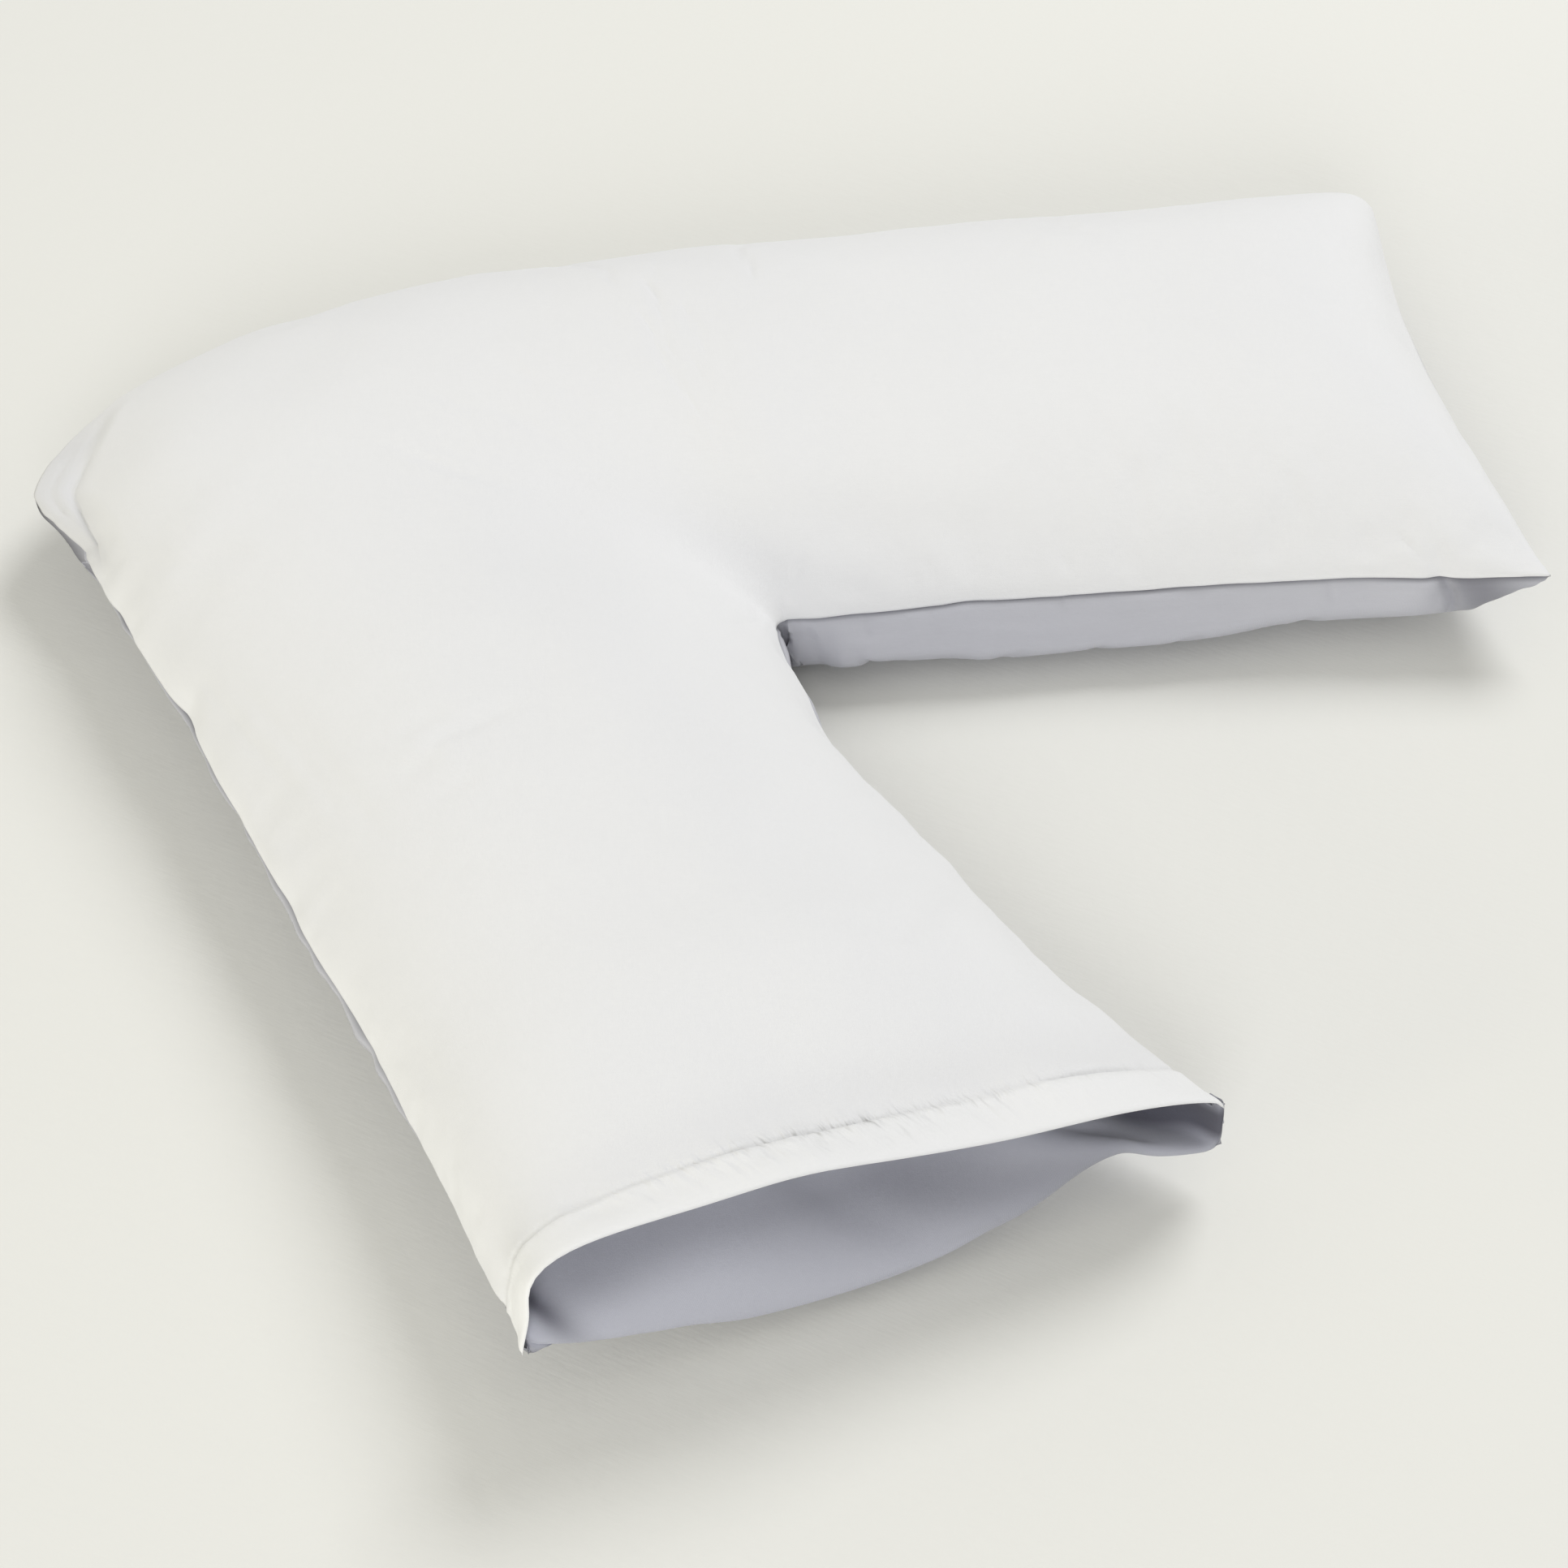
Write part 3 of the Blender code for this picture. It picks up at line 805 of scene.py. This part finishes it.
class Paint:
    # a material, with its nodes made as they are asked for
    def __init__(self, name):
        self.material = bpy.data.materials.new(name)
        self.material.use_nodes = True
        self.tree = self.material.node_tree
        self.shader = self.tree.nodes["Principled BSDF"]

    def node(self, kind, settings, sockets, out=0):
        node = self.tree.nodes.new(kind)
        for key, value in settings.items():
            setattr(node, key, value)
        self.feed(node, sockets)
        return Wire(self, node.outputs[out])

    def feed(self, node, sockets):
        for key, value in sockets.items():
            if isinstance(value, Wire):
                self.tree.links.new(value.socket, node.inputs[key])
            else:
                node.inputs[key].default_value = value

    def layer(self, name):
        return self.node("ShaderNodeAttribute", {"attribute_name": name}, {}, "Fac")

    def vector(self, x, y, z=0.0):
        return self.node("ShaderNodeCombineXYZ", {}, {0: x, 1: y, 2: z})

    def noise(self, vector, scale, detail, roughness=0.5):
        return self.node("ShaderNodeTexNoise", {}, {
            "Vector": vector, "Scale": scale, "Detail": detail, "Roughness": roughness})

    def mix(self, share, first, second):
        return self.node("ShaderNodeMix", {"data_type": "RGBA"}, {0: share, "A": first, "B": second}, 2)

    def finish(self, colour, roughness, height, **others):
        bump = self.node("ShaderNodeBump", {}, {"Strength": 1.0, "Distance": 1.0, "Height": height})
        self.feed(self.shader, {"Base Color": colour, "Roughness": roughness, "Normal": bump})
        self.feed(self.shader, {key.replace("_", " "): value for key, value in others.items()})
        return self.material


def clothPaint(name, look):
    paint = Paint(name)
    spot = paint.node("ShaderNodeTexCoord", {}, {}, "Object")
    split = paint.node("ShaderNodeSeparateXYZ", {}, {0: spot})
    x, y, z = (Wire(paint, split.socket.node.outputs[k]) for k in range(3))
    # the weave: two threads over each other, with thicker places along each
    grain, rise = look["grainTurn"], z * look["threadRise"]
    warp = x * cos(grain) + y * sin(grain) + rise
    weft = y * cos(grain) - x * sin(grain) + rise
    turn = 2 * pi / look["threadPair"]
    over = (warp * turn).math("SINE") * (weft * turn).math("SINE")
    slub = paint.noise(paint.vector(warp * look["slubLength"], weft, z), *look["slubNoise"])
    slub = slub + paint.noise(paint.vector(warp, weft * look["slubLength"], z), *look["slubNoise"]) - 1.0
    cloud = paint.noise(spot, *look["cloudNoise"]) - 0.5
    crumple = paint.noise(spot, *look["crumpleNoise"])
    depth = slub * look["slubShade"] + cloud * look["cloudShade"] + over * look["weaveShade"]
    colour = paint.mix((depth + 0.5).math("MAXIMUM", 0.0), (*look["dark"], 1), (*look["light"], 1))
    # painted shade: where the groove layer is set, the colour is mixed towards a dark shade colour, for shade
    # in seams, folds, hollows and under the hem
    colour = paint.mix(paint.layer("groove") * look["paintedShade"], colour, (*look["paintedShadeColour"], 1))
    height = over * look["weaveHeight"] + slub * look["slubHeight"] + crumple * look["crumpleHeight"]
    if "teethHeight" in look:
        across, offHem, doubled = (paint.layer(layer) for layer in ("across", "offHem", "doubled"))
        strongest = (across - look["puckersAt"]).bell(look["puckersReach"])
        strongest = strongest * (1 - look["leastPuckers"]) + look["leastPuckers"]
        beside = (offHem * offHem * -look["teethFade"]).math("EXPONENT")
        onHem = (offHem + look["foldsOff"]).bell(look["foldsReach"])
        for kind, near in (("teeth", beside), ("folds", onHem)):
            length, width, detail = look[kind + "Noise"]
            relief = paint.noise(paint.vector(across * length, offHem * width), 1.0, detail) - 0.5
            height = height + relief * near * strongest * look[kind + "Height"]
        colour = paint.mix(doubled * look["doubledShade"], colour, (*look["doubledColour"], 1))
    return paint.finish(colour, slub * look["slubRoughness"] + look["roughness"], height,
                        Sheen_Weight=look["sheen"], Sheen_Roughness=look["sheenRoughness"],
                        Specular_IOR_Level=look["specular"])


whiteLook = {
    "light": (0.86, 0.865, 0.885),
    "dark": (0.79, 0.795, 0.82),
    # the colour of the painted shade, and how strongly the groove layer paints it
    "paintedShadeColour": (0.60, 0.60, 0.62),
    "paintedShade": 0.8,
    "grainTurn": radians(-57.9),
    "threadPair": 0.0007,
    "threadRise": 0.7,
    "slubLength": 0.06,
    "slubNoise": (1500.0, 2.0, 0.6),  # how fine, how many sizes of it, how rough
    "slubShade": 0.35,
    "slubHeight": 0.00006,
    "slubRoughness": 0.15,
    "cloudNoise": (7.0, 3.0),
    "cloudShade": 0.5,
    "weaveShade": 0.10,
    "weaveHeight": 0.00003,
    "crumpleNoise": (38.0, 3.0, 0.55),
    "crumpleHeight": 0.0006,
    "roughness": 0.86,
    "sheen": 0.12,
    "sheenRoughness": 0.45,
    "specular": 0.25,
}
# with the puckers beside the hem's stitches ("teeth") and the hem's own folds
hemLook = whiteLook | {
    "teethHeight": 0.0042,
    "teethNoise": (260.0, 70.0, 1.0),  # how fine across, behind the stitches, and its sizes
    "teethFade": 22000.0,              # 1 / the square of how far they run from the stitches
    "foldsHeight": 0.0060,
    "foldsNoise": (95.0, 22.0, 2.0),
    "foldsOff": 0.007,                 # their middle lies this far from the stitches, on the hem
    "foldsReach": 0.016,
    "puckersAt": 0.195,                # across from the inner corner, where both are strongest
    "puckersReach": 0.100,
    "leastPuckers": 0.15,
    "doubledShade": 0.3,               # the hem's second layer is a little whiter
    "doubledColour": (0.93, 0.935, 0.945),
}
greyLook = whiteLook | {
    "light": (0.570, 0.575, 0.630),
    "dark": (0.490, 0.495, 0.548),
    # a far darker painted shade on the grey cloth
    "paintedShadeColour": (0.080, 0.080, 0.105),
    "sheen": 0.16,
}
# the flap's copy of the grey cloth: tinted bluer to offset the warm light bounced onto it from the floor, and
# with its painted shade at full strength
lilacLook = greyLook | {
    "light": (0.550, 0.560, 0.640),
    "dark": (0.475, 0.485, 0.555),
    "paintedShade": 1.0,
}
white = clothPaint("white_cotton_cloth", hemLook)
grey = clothPaint("grey_cotton_cloth", greyLook)
lilac = clothPaint("grey_flap_cloth", lilacLook)


# The white top panel, with its hem turned under at the mouth.
panel = {
    "above": 0.0006,                      # under the cloth, over the filling
    "thick": 0.0009,
    "hem": 0.030,
    "hemLayer": 0.0012,
    "hemStep": 0.0012,
    "hemRound": 0.0012,
    "undulations": ((0.16, 0.0022), (0.07, 0.0012), (0.030, 0.00030)),
    "gathers": ((0.0075, 0.006, 0.0005), (0.016, 0.016, 0.0009), (0.040, 0.042, 0.0016)),
    "hemGathers": ((0.0080, 0.007, 0.0018), (0.016, 0.013, 0.0022), (0.034, 0.022, 0.0014)),
    "hemDip": (0.040, 0.020, 0.0060),     # how far back, how wide, how deep
    "hemSwell": (0.135, 0.045, 0.0030),   # and behind it, how high
    "dipUneven": (0.75, 0.09),            # at least, over what length
    "dipFade": (0.05, 0.02),              # from the seams, from the mouth
    # where the hem's edge stands proud or turns in, as (across, width, height, reach) rows
    "hemLifts": ((0.243, 0.046, 0.0062, 0.045), (0.124, 0.052, -0.0052, 0.045),
                 (0.412, 0.022, -0.0050, 0.011)),
    "earPaintedShade": 0.5,                      # painted shade over the empty corner of the case, where the cloth lies single and flat
    "earIn": (0.042, 0.022),              # how far in it ends, over
    "stitchLine": (0.0016, 0.0014),       # the trough under the stitches: half width, depth
    "stitchShade": (0.0012, 0.7),         # painted shade in the trough under the stitches: half width, how dark
    "behindStitches": (0.016, 0.020, 0.16),  # a faint painted shade: how far back, how wide, how dark
    "calmSeams": (0.15, 0.03),            # how much of the relief is left there, over
    "calmMouth": (0.001, 0.02),
    "rimThickness": 0.15,
    # (x, y, turn in degrees, long, wide, height) on the plan
    "spots": (
        (-0.33, -0.165, -58, 0.07, 0.035, 0.003), (-0.225, -0.262, 10, 0.045, 0.022, 0.0028),
        (-0.268, -0.3, 30, 0.035, 0.015, -0.0022), (-0.215, -0.16, 40, 0.06, 0.03, -0.002),
        (0.078, -0.08, -60, 0.09, 0.018, -0.0022), (0.095, 0.03, 35, 0.08, 0.03, 0.0026),
        (0.21, -0.19, -50, 0.06, 0.035, 0.0026), (-0.06, 0.08, 20, 0.09, 0.028, -0.0018),
        (-0.15, 0.27, -10, 0.06, 0.02, 0.002), (0.01, 0.3, 5, 0.12, 0.03, -0.0016),
    ),
    # each from (along the seam, in from it) to (along, in), width, depth, bow
    "outerCreases": (
        (0.785, 0.016, 0.7, 0.012, 0.0022, 0.0016, 0.002),
        (0.79, 0.03, 0.644, 0.01, 0.003, 0.0022, -0.004),
        (0.745, 0.006, 0.7, 0.018, 0.0016, 0.0007, 0.0),
        (0.56, 0.012, 0.512, 0.003, 0.0026, 0.0014, 0.001),
        (0.548, 0.019, 0.508, 0.006, 0.002, 0.0009, 0.001),
        (0.53, 0.028, 0.38, 0.04, 0.004, 0.0008, 0.003),
        (0.5, 0.042, 0.33, 0.055, 0.005, 0.0008, -0.003), (0.47, 0.06, 0.3, 0.07, 0.006, 0.0007, 0.002),
        (0.23, 0.02, 0.09, 0.052, 0.007, 0.0007, 0.003),
    ),
    "innerCreases": (
        (0.857, 0.002, 0.835, 0.03, 0.0022, 0.0012, 0.001),
        (0.56, 0.003, 0.552, 0.032, 0.0026, 0.0009, 0.001),
        (0.64, 0.003, 0.632, 0.026, 0.0024, 0.0008, -0.001),
        (0.47, 0.004, 0.478, 0.04, 0.0026, 0.001, 0.001),
        (0.464, 0.01, 0.44, 0.06, 0.003, 0.0008, 0.002),
    ),
    # creases over the hem, in rows of (across from the inner corner, width, height)
    "creaseAt": (0.024, 0.017),           # how far back, how wide
    "creaseSway": (0.08, 0.0008, 0.009),  # how far it leans, wanders, over what length
    "hemCreases": (
        (0.219, 0.0016, -0.0011), (0.226, 0.0022, 0.001), (0.246, 0.0014, -0.0006),
        (0.187, 0.0016, -0.001), (0.179, 0.002, 0.0007), (0.158, 0.0014, -0.0009),
        (0.146, 0.002, -0.0006), (0.274, 0.0018, -0.0006), (0.12, 0.0018, -0.0005),
        (0.086, 0.0016, 0.0006), (0.312, 0.0018, 0.0005),
    ),
}
relief = marks(top.points[..., 0], top.points[..., 1], panel["spots"]) + top.relief(panel, seeds["panel"])
least, width = panel["calmSeams"]
relief = relief * atLeast(least, smooth(top.toSeam / width))
relief = relief + top.gathered(panel["gathers"], seeds["panelGathers"])
top.push(relief * fadeIn(fromMouth, *panel["calmMouth"]))

hemLine = fromMouth - panel["hem"]
across = top.fromInner
lineWidth, lineDepth = panel["stitchLine"]
stitched = -lineDepth * bell(hemLine, lineWidth)
for place, width, height, reach in panel["hemLifts"]:
    stitched = stitched + height * bell(across - place, width) * bell(fromMouth, reach)
pulled = gathers(across, np.abs(hemLine), panel["hemGathers"], seeds["hemGathers"])
least, length = panel["dipUneven"]
seamWidth, mouthWidth = panel["dipFade"]
for sign, (place, width, height) in ((-1, panel["hemDip"]), (1, panel["hemSwell"])):
    uneven = atLeast(least, wobble(across, length, seeds["dip"] + sign)) * smooth(top.toSeam / seamWidth)
    pulled = pulled + sign * height * uneven * bell(fromMouth - place, width)
pulled = pulled * smooth(fromMouth / mouthWidth)
lean, aside, length = panel["creaseSway"]
sway = across + lean * hemLine + aside * wobble(fromMouth, length, seeds["hemCreases"])
place, width = panel["creaseAt"]
onHem = bell(fromMouth - place, width)
for place, width, height in panel["hemCreases"]:
    pulled = pulled + height * onHem * bell(sway - place, width)
top.push(stitched + pulled)

inHem = 1 - smooth(hemLine / panel["hemStep"])
thick = panel["thick"] + panel["hemLayer"] * inHem
fromEnd = runningLength(top.points[::-1, mesh["columns"] // 2])[::-1][:, None]
edge = np.minimum(top.toSeam, np.minimum(fromMouth, fromEnd))
roundness = roundedRise(edge / panel["hemRound"], 2)
middle = top.points + top.normals() * (panel["above"] + thick / 2)[..., None]
bulk = (thick / 2 * atLeast(panel["rimThickness"], roundness))[..., None] * top.normals()
panelInside = middle - bulk
points, faces = sheetShape(middle + bulk, panelInside)
# painted shade on the panel: in the trough under the stitches and faintly just behind them
width, dark = panel["stitchShade"]
groove = bell(hemLine, width) * dark + 0 * across
place, width, dark = panel["behindStitches"]
groove = np.maximum(groove, dark * bell(hemLine - place, width) * (hemLine > 0))
# painted shade over the empty ear
place, width = panel["earIn"]
earShadeMask = smooth((place - top.fromOuter) / width) * besideEar(top.alongOuter)
groove = np.maximum(groove, panel["earPaintedShade"] * earShadeMask)
layers = {"groove": groove, "doubled": inHem + 0 * across, "across": across, "offHem": hemLine + 0 * across}
layers = {name: onSheet(values) for name, values in layers.items()}
topPanel = addPiece("topPanel", points, faces, white, layers)
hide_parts("top_panel")
print("top panel:", len(faces), "faces")


# The grey underside with its filling, one filled solid.
body = {
    "below": 0.0012,                     # under the panel's inner side
    "gathers": ((0.006, 0.006, 0.0006), (0.014, 0.013, 0.0011), (0.030, 0.030, 0.0016)),
    "undulations": ((0.10, 0.0012), (0.04, 0.0007)),
    "innerCreases": (
        (0.4625, -0.012, 0.469, 0.06, 0.0017, 0.0075, -0.001),
        (0.476, 0.001, 0.49, 0.05, 0.003, 0.0012, -0.002),
        (0.47, -0.004, 0.4735, 0.016, 0.0012, 0.0016, 0.0),
        (0.4775, -0.004, 0.48, 0.013, 0.0012, 0.0014, 0.0),
        (0.486, -0.004, 0.4905, 0.018, 0.0014, 0.0013, 0.0),
        (0.517, -0.004, 0.515, 0.015, 0.0014, 0.0012, 0.0),
        (0.63, -0.004, 0.632, 0.012, 0.0014, 0.001, 0.0),
        (0.79, -0.004, 0.793, 0.014, 0.0014, 0.0012, 0.0),
        (0.524, 0.056, 0.5, 0.02, 0.0035, 0.0026, 0.003),
        (0.857, -0.004, 0.868, 0.03, 0.0026, 0.004, -0.002),
        (0.866, 0.006, 0.884, 0.032, 0.006, -0.0012, 0.0),
        (0.59, 0.05, 0.612, 0.032, 0.005, 0.0016, 0.0), (0.69, 0.052, 0.72, 0.034, 0.005, 0.0014, 0.0),
        (0.76, 0.05, 0.792, 0.03, 0.006, 0.0018, 0.0), (0.64, 0.058, 0.66, 0.036, 0.006, 0.0016, 0.0),
    ),
    "allowance": (0.0095, 0.0009, 0.00080),  # the line of the cloth's edge inside the seam
    "calmSeams": 0.004,
    "calmFloor": 0.012,
    "onFloor": 0.0005,
    # painted shade in some folds beside the inner seam, in rows like the creases'
    "shades": (
        (0.46, -0.012, 0.469, 0.062, 0.0014, 0.85, -0.001),
        (0.854, -0.01, 0.866, 0.034, 0.005, 0.42, 0.0), (0.868, -0.012, 0.9, 0.036, 0.023, 0.75, 0.0),
    ),
    "groove": (0.0012, 0.0014, 0.0011),  # the dip beside the seams: how far in, width, depth
    "paintedShade": (0.0010, 0.8),        # painted shade along the seams: width, how dark
    "downForFlap": (0.0024, 0.085, 0.03),  # how far, to where behind the mouth, over
    # where the two cloths meet at the lip: up to this fullness, and from, over this share across
    "meeting": (0.45, 0.24, 0.20),
    "rimFade": 0.003,
}
relief = under.relief(body, seeds["body"]) + under.gathered(body["gathers"], seeds["bodyGathers"])
toSeam = under.toSeam
place, width, height = body["allowance"]
relief = relief + height * np.tanh((place - toSeam) / width)
relief = relief * smooth(toSeam / body["calmSeams"]) * smooth(under.points[..., 2] / body["calmFloor"])
place, width, depth = body["groove"]
relief = relief - depth * bell(toSeam - place, width)
relief[under.points[..., 2] < body["onFloor"]] = 0
under.push(relief)
under.points[..., 2] = np.maximum(under.points[..., 2], 0)

# the nose: the filling rises from the lower lip to the panel's inside
bodyRows = np.flatnonzero(rows >= pillow["lipBehindHem"] / pillow["innerLength"])
behindMouth = fromMouth[bodyRows]
lower = under.points[bodyRows]
seamFade = smooth(edge / body["calmSeams"])[..., None]
upperGrid = (top.points - top.normals() * (body["below"] * seamFade))[bodyRows, ::2]
acrossShare = (top.fromInner / top.fromInner[:, -1:])[bodyRows, ::2]
recess = 0.0
for share, (deep, width) in ((acrossShare, pillow["nosePocket"]), (1 - acrossShare, pillow["noseWall"])):
    recess = recess + deep * bell(share, width)
softness = pillow["lipSoft"] + pillow["pocketSoft"] * recess / recess.max()
pastLip = softness * np.logaddexp(0, (behindMouth - pillow["lipBehindHem"] - recess) / softness)
full = roundedRise(pastLip / (pillow["noseLength"] - pillow["lipBehindHem"]), pillow["nosePower"])
down, place, width = body["downForFlap"]
upperGrid[..., 2] -= down * (1 - fadeIn(behindMouth, place, width))
lipLine = lower[0, :, 2][None]
upperGrid[..., 2] = lipLine + (upperGrid[..., 2] - lipLine) * full
# in the pocket the two cloths meet at the lip, column by column
fullness, place, width = body["meeting"]
meet = (1 - smooth(full / fullness)) * (1 - fadeIn(acrossShare, place, width))
upperGrid[..., :2] += (lower - upperGrid)[..., :2] * meet[..., None]
rimFade = smooth(top.toSeam[bodyRows, ::2] / body["rimFade"])[..., None]
upperGrid = lower + (upperGrid - lower) * rimFade


# The grey tuck-in flap over the filling's nose.
flap = {
    "tuck": 0.110,
    # (across from the inner corner, height, turn in degrees, long, wide, height out)
    "spots": (
        (0.2, 0.05, 60, 0.045, 0.011, -0.003), (0.222, 0.085, 90, 0.014, 0.004, -0.004),
        (0.163, 0.07, 70, 0.018, 0.0045, -0.0016), (0.111, 0.066, 150, 0.03, 0.008, 0.0018),
        (0.29, 0.045, 10, 0.07, 0.018, 0.005), (0.15, 0.05, 20, 0.06, 0.014, -0.004),
        (0.376, 0.06, 90, 0.03, 0.0022, -0.002), (0.369, 0.06, 90, 0.03, 0.0026, 0.0016),
        (0.014, 0.041, 40, 0.016, 0.0018, -0.0016), (0.235, 0.022, 8, 0.045, 0.003, 0.001),
    ),
    # where its swell fades in: from, over; and in the pocket, how much of it is left
    "belowHem": (0.004, 0.012),
    "offWall": (0.006, 0.030),
    "offPocket": (0.050, 0.050),
    "inPocket": 0.35,
    "wrap": 0.007,              # the fold at the lower lip goes on under the filling
    "thick": 0.0009,
    "above": 0.0006,
    "rows": 80,
    "columns": 170,
    "edgeShare": 0.6,
    # painted shade in the pocket and its hollows, in rows like the spots'
    "shades": (
        (0.03, 0.039, 0, 0.024, 0.013, 0.92), (0.02, 0.052, 0, 0.02, 0.01, 0.6),
        (0.15, 0.05, 0, 0.085, 0.028, 0.52), (0.35, 0.066, 0, 0.05, 0.013, 0.38),
        (0.27, 0.07, 8, 0.075, 0.013, 0.32), (0.377, 0.068, 90, 0.024, 0.01, 0.72),
    ),
    # painted shade deep in the pocket: behind the lip (from, over), as far across as (from, over), and how
    # dark
    "pocketShade": ((-0.004, 0.018), (0.030, 0.060), 0.62),
    "underHem": (0.019, 0.60),  # painted shade under the hem's edge: how wide, how dark
    "darkest": 0.95,
    "puff": 0.0034,             # the flap stands this far off the filling, so that its dents clear it
    "easing": 6,                # rounds of smoothing
    "clear": 0.0003,            # from its outside to the panel's inside
    "pastTuck": 0.010,          # how far behind it the filling is still kept clear of it
}
flapRows = behindMouth[:, 0] < flap["tuck"]
wrapRows = np.count_nonzero(behindMouth < pillow["lipBehindHem"] + flap["wrap"])
nose = np.concatenate([lower[wrapRows:0:-1], upperGrid[flapRows]]).transpose(1, 0, 2)
nose = evenedOut(nose, np.linspace(0, 1, flap["rows"] + 1)).transpose(1, 0, 2)
nose = evenedOut(nose, columnShares(flap["columns"], flap["edgeShare"]))
flapFace = Face(nose)
fromCorner = flapFace.fromInner
hemEdge = curveThrough(across[0], top.points[0, :, 2], fromCorner.clip(0, across[0, -1]))
inView = fadeIn(hemEdge - nose[..., 2], *flap["belowHem"]) * fadeIn(flapFace.fromOuter, *flap["offWall"])
inView = inView * atLeast(flap["inPocket"], fadeIn(fromCorner, *flap["offPocket"]))
dents = marks(fromCorner, nose[..., 2], flap["spots"])
flapFace.push(np.maximum(flap["puff"] * inView + dents, 0.0) * flapFace.fade())
for number in range(flap["easing"]):
    eased = flapFace.points.copy()
    eased[1:-1, 1:-1] = besides(eased) / 4
    flapFace.points = eased
nose = keptUnder(flapFace.points, panelInside, flap["above"] + flap["thick"] + flap["clear"])
flapFace.points = nose
flapInside = nose + flapFace.normals() * flap["above"]
points, faces = sheetShape(flapInside + flapFace.normals() * flap["thick"], flapInside)
# painted shade on the flap, in the pocket and its hollows
shade = marks(fromCorner, nose[..., 2], flap["shades"]).clip(0, flap["darkest"])
# painted shade deep in the pocket, behind the lip
behindLip, pocketSide, dark = flap["pocketShade"]
behind = (nose[..., :2] - nose[0, :, :2]) @ -downArm["mouth"]
deep = fadeIn(behind, *behindLip) * (1 - fadeIn(fromCorner, *pocketSide))
shade = np.maximum(shade, dark * deep)
# painted shade under the hem's edge
width, dark = flap["underHem"]
shade = np.maximum(shade, dark * bell((hemEdge - nose[..., 2]).clip(0), width))
closureFlap = addPiece("closureFlap", points, faces, lilac, {"groove": onSheet(shade)})
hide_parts("closure_flap")
print("closure flap:", len(faces), "faces")

# the filling, finished once the flap over it is known
underFlap = np.count_nonzero(behindMouth < flap["tuck"] + flap["pastTuck"])
for grid in (upperGrid, lower):
    grid[:underFlap] = keptUnder(grid[:underFlap], flapInside, flap["clear"])
points, faces = lensShape(upperGrid, lower)
# painted shade along the seams
width, dark = body["paintedShade"]
groove = dark * bell(toSeam, width)
# and painted shade in the folds beside the inner seam
for row in body["shades"]:
    groove = np.maximum(groove, -under.crease("inner", *row))
groove = groove[bodyRows]
groove = np.concatenate([groove.reshape(-1), groove[1:-1, 1:-1].reshape(-1)])
filledBody = addPiece("filledBody", points, faces, grey, {"groove": groove})
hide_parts("filled_body")
print("filled body:", len(faces), "faces")


# The floor, the light and the camera.
studio = {
    "floorSize": 12.0,
    "floorColour": (0.81, 0.81, 0.785),
    "floorRoughness": 0.8,
    "speckle": (60.0, 4.0),       # how fine, how many sizes of it
    "speckleHeight": 0.0004,
    "strokeScale": (420, 60, 1),  # across the strokes, along them
    "strokeTurn": 0.5,
    "strokeNoise": (1.0, 3.0),
    "strokeHeight": 0.0001,
    "skyColour": (1.0, 0.99, 0.93),
    "skyStrength": 0.52,
    # each lamp: heading from +Y towards +X, height, how far, size, power, colour
    "lamps": {
        "key": (96, 46, 7.0, (3.6, 3.6), 236.0, (1.0, 1.0, 1.0)),
        "front": (-116, 25, 6.0, (3.0, 2.0), 104.0, (0.98, 0.98, 1.0)),
        "side": (-58, 13, 5.0, (3.0, 1.2), 58.0, (1.0, 0.95, 0.72)),
    },
    "eye": (-1.6024, -0.8877, 1.6002),
    "heading": radians(62.165),   # from +Y towards +X
    "downward": radians(42.84),
    "roll": radians(0.10),
    "lens": 93.17,
    "farthest": 50,
}
floorPaint = Paint("pale_floor")
spot = floorPaint.node("ShaderNodeTexCoord", {}, {}, "Object")
speckle = floorPaint.noise(spot, *studio["speckle"])
strokes = floorPaint.node("ShaderNodeMapping", {}, {
    "Vector": spot, "Rotation": (0, 0, studio["strokeTurn"]), "Scale": studio["strokeScale"]})
strokes = floorPaint.noise(strokes, *studio["strokeNoise"])
floorPaint.finish((*studio["floorColour"], 1), studio["floorRoughness"],
                  speckle * studio["speckleHeight"] + strokes * studio["strokeHeight"])
reach = studio["floorSize"] / 2
floor = meshed("floor", [(-reach, -reach, 0), (reach, -reach, 0), (reach, reach, 0), (-reach, reach, 0)],
               [(0, 1, 2, 3)])
floor.data.materials.append(floorPaint.material)

sky = bpy.data.worlds.new("studio")
sky.use_nodes = True
background = sky.node_tree.nodes["Background"]
background.inputs["Color"].default_value = (*studio["skyColour"], 1)
background.inputs["Strength"].default_value = studio["skyStrength"]
bpy.context.scene.world = sky

for name, (heading, height, away, size, power, colour) in studio["lamps"].items():
    lamp = bpy.data.lights.new(name, "AREA")
    lamp.shape = "ELLIPSE"
    lamp.size, lamp.size_y = size
    lamp.energy, lamp.color = power, colour
    light = linked(name, lamp)
    heading, height = radians(heading), radians(height)
    toLight = Vector((cos(height) * sin(heading), cos(height) * cos(heading), sin(height)))
    light.location = toLight * away
    light.rotation_euler = toLight.to_track_quat("Z", "Y").to_euler()

heading, downward = studio["heading"], studio["downward"]
aim = Vector((sin(heading) * cos(downward), cos(heading) * cos(downward), -sin(downward)))
lensData = bpy.data.cameras.new("camera")
lensData.lens = studio["lens"]
lensData.clip_end = studio["farthest"]
camera = linked("camera", lensData)
camera.location = studio["eye"]
camera.rotation_euler = (aim.to_track_quat("-Z", "Y") @ Quaternion((0, 0, 1), studio["roll"])).to_euler()
bpy.context.scene.camera = camera
bpy.context.scene.view_settings.view_transform = "Standard"     # plain tones, as in a shop's picture
print("studio set")
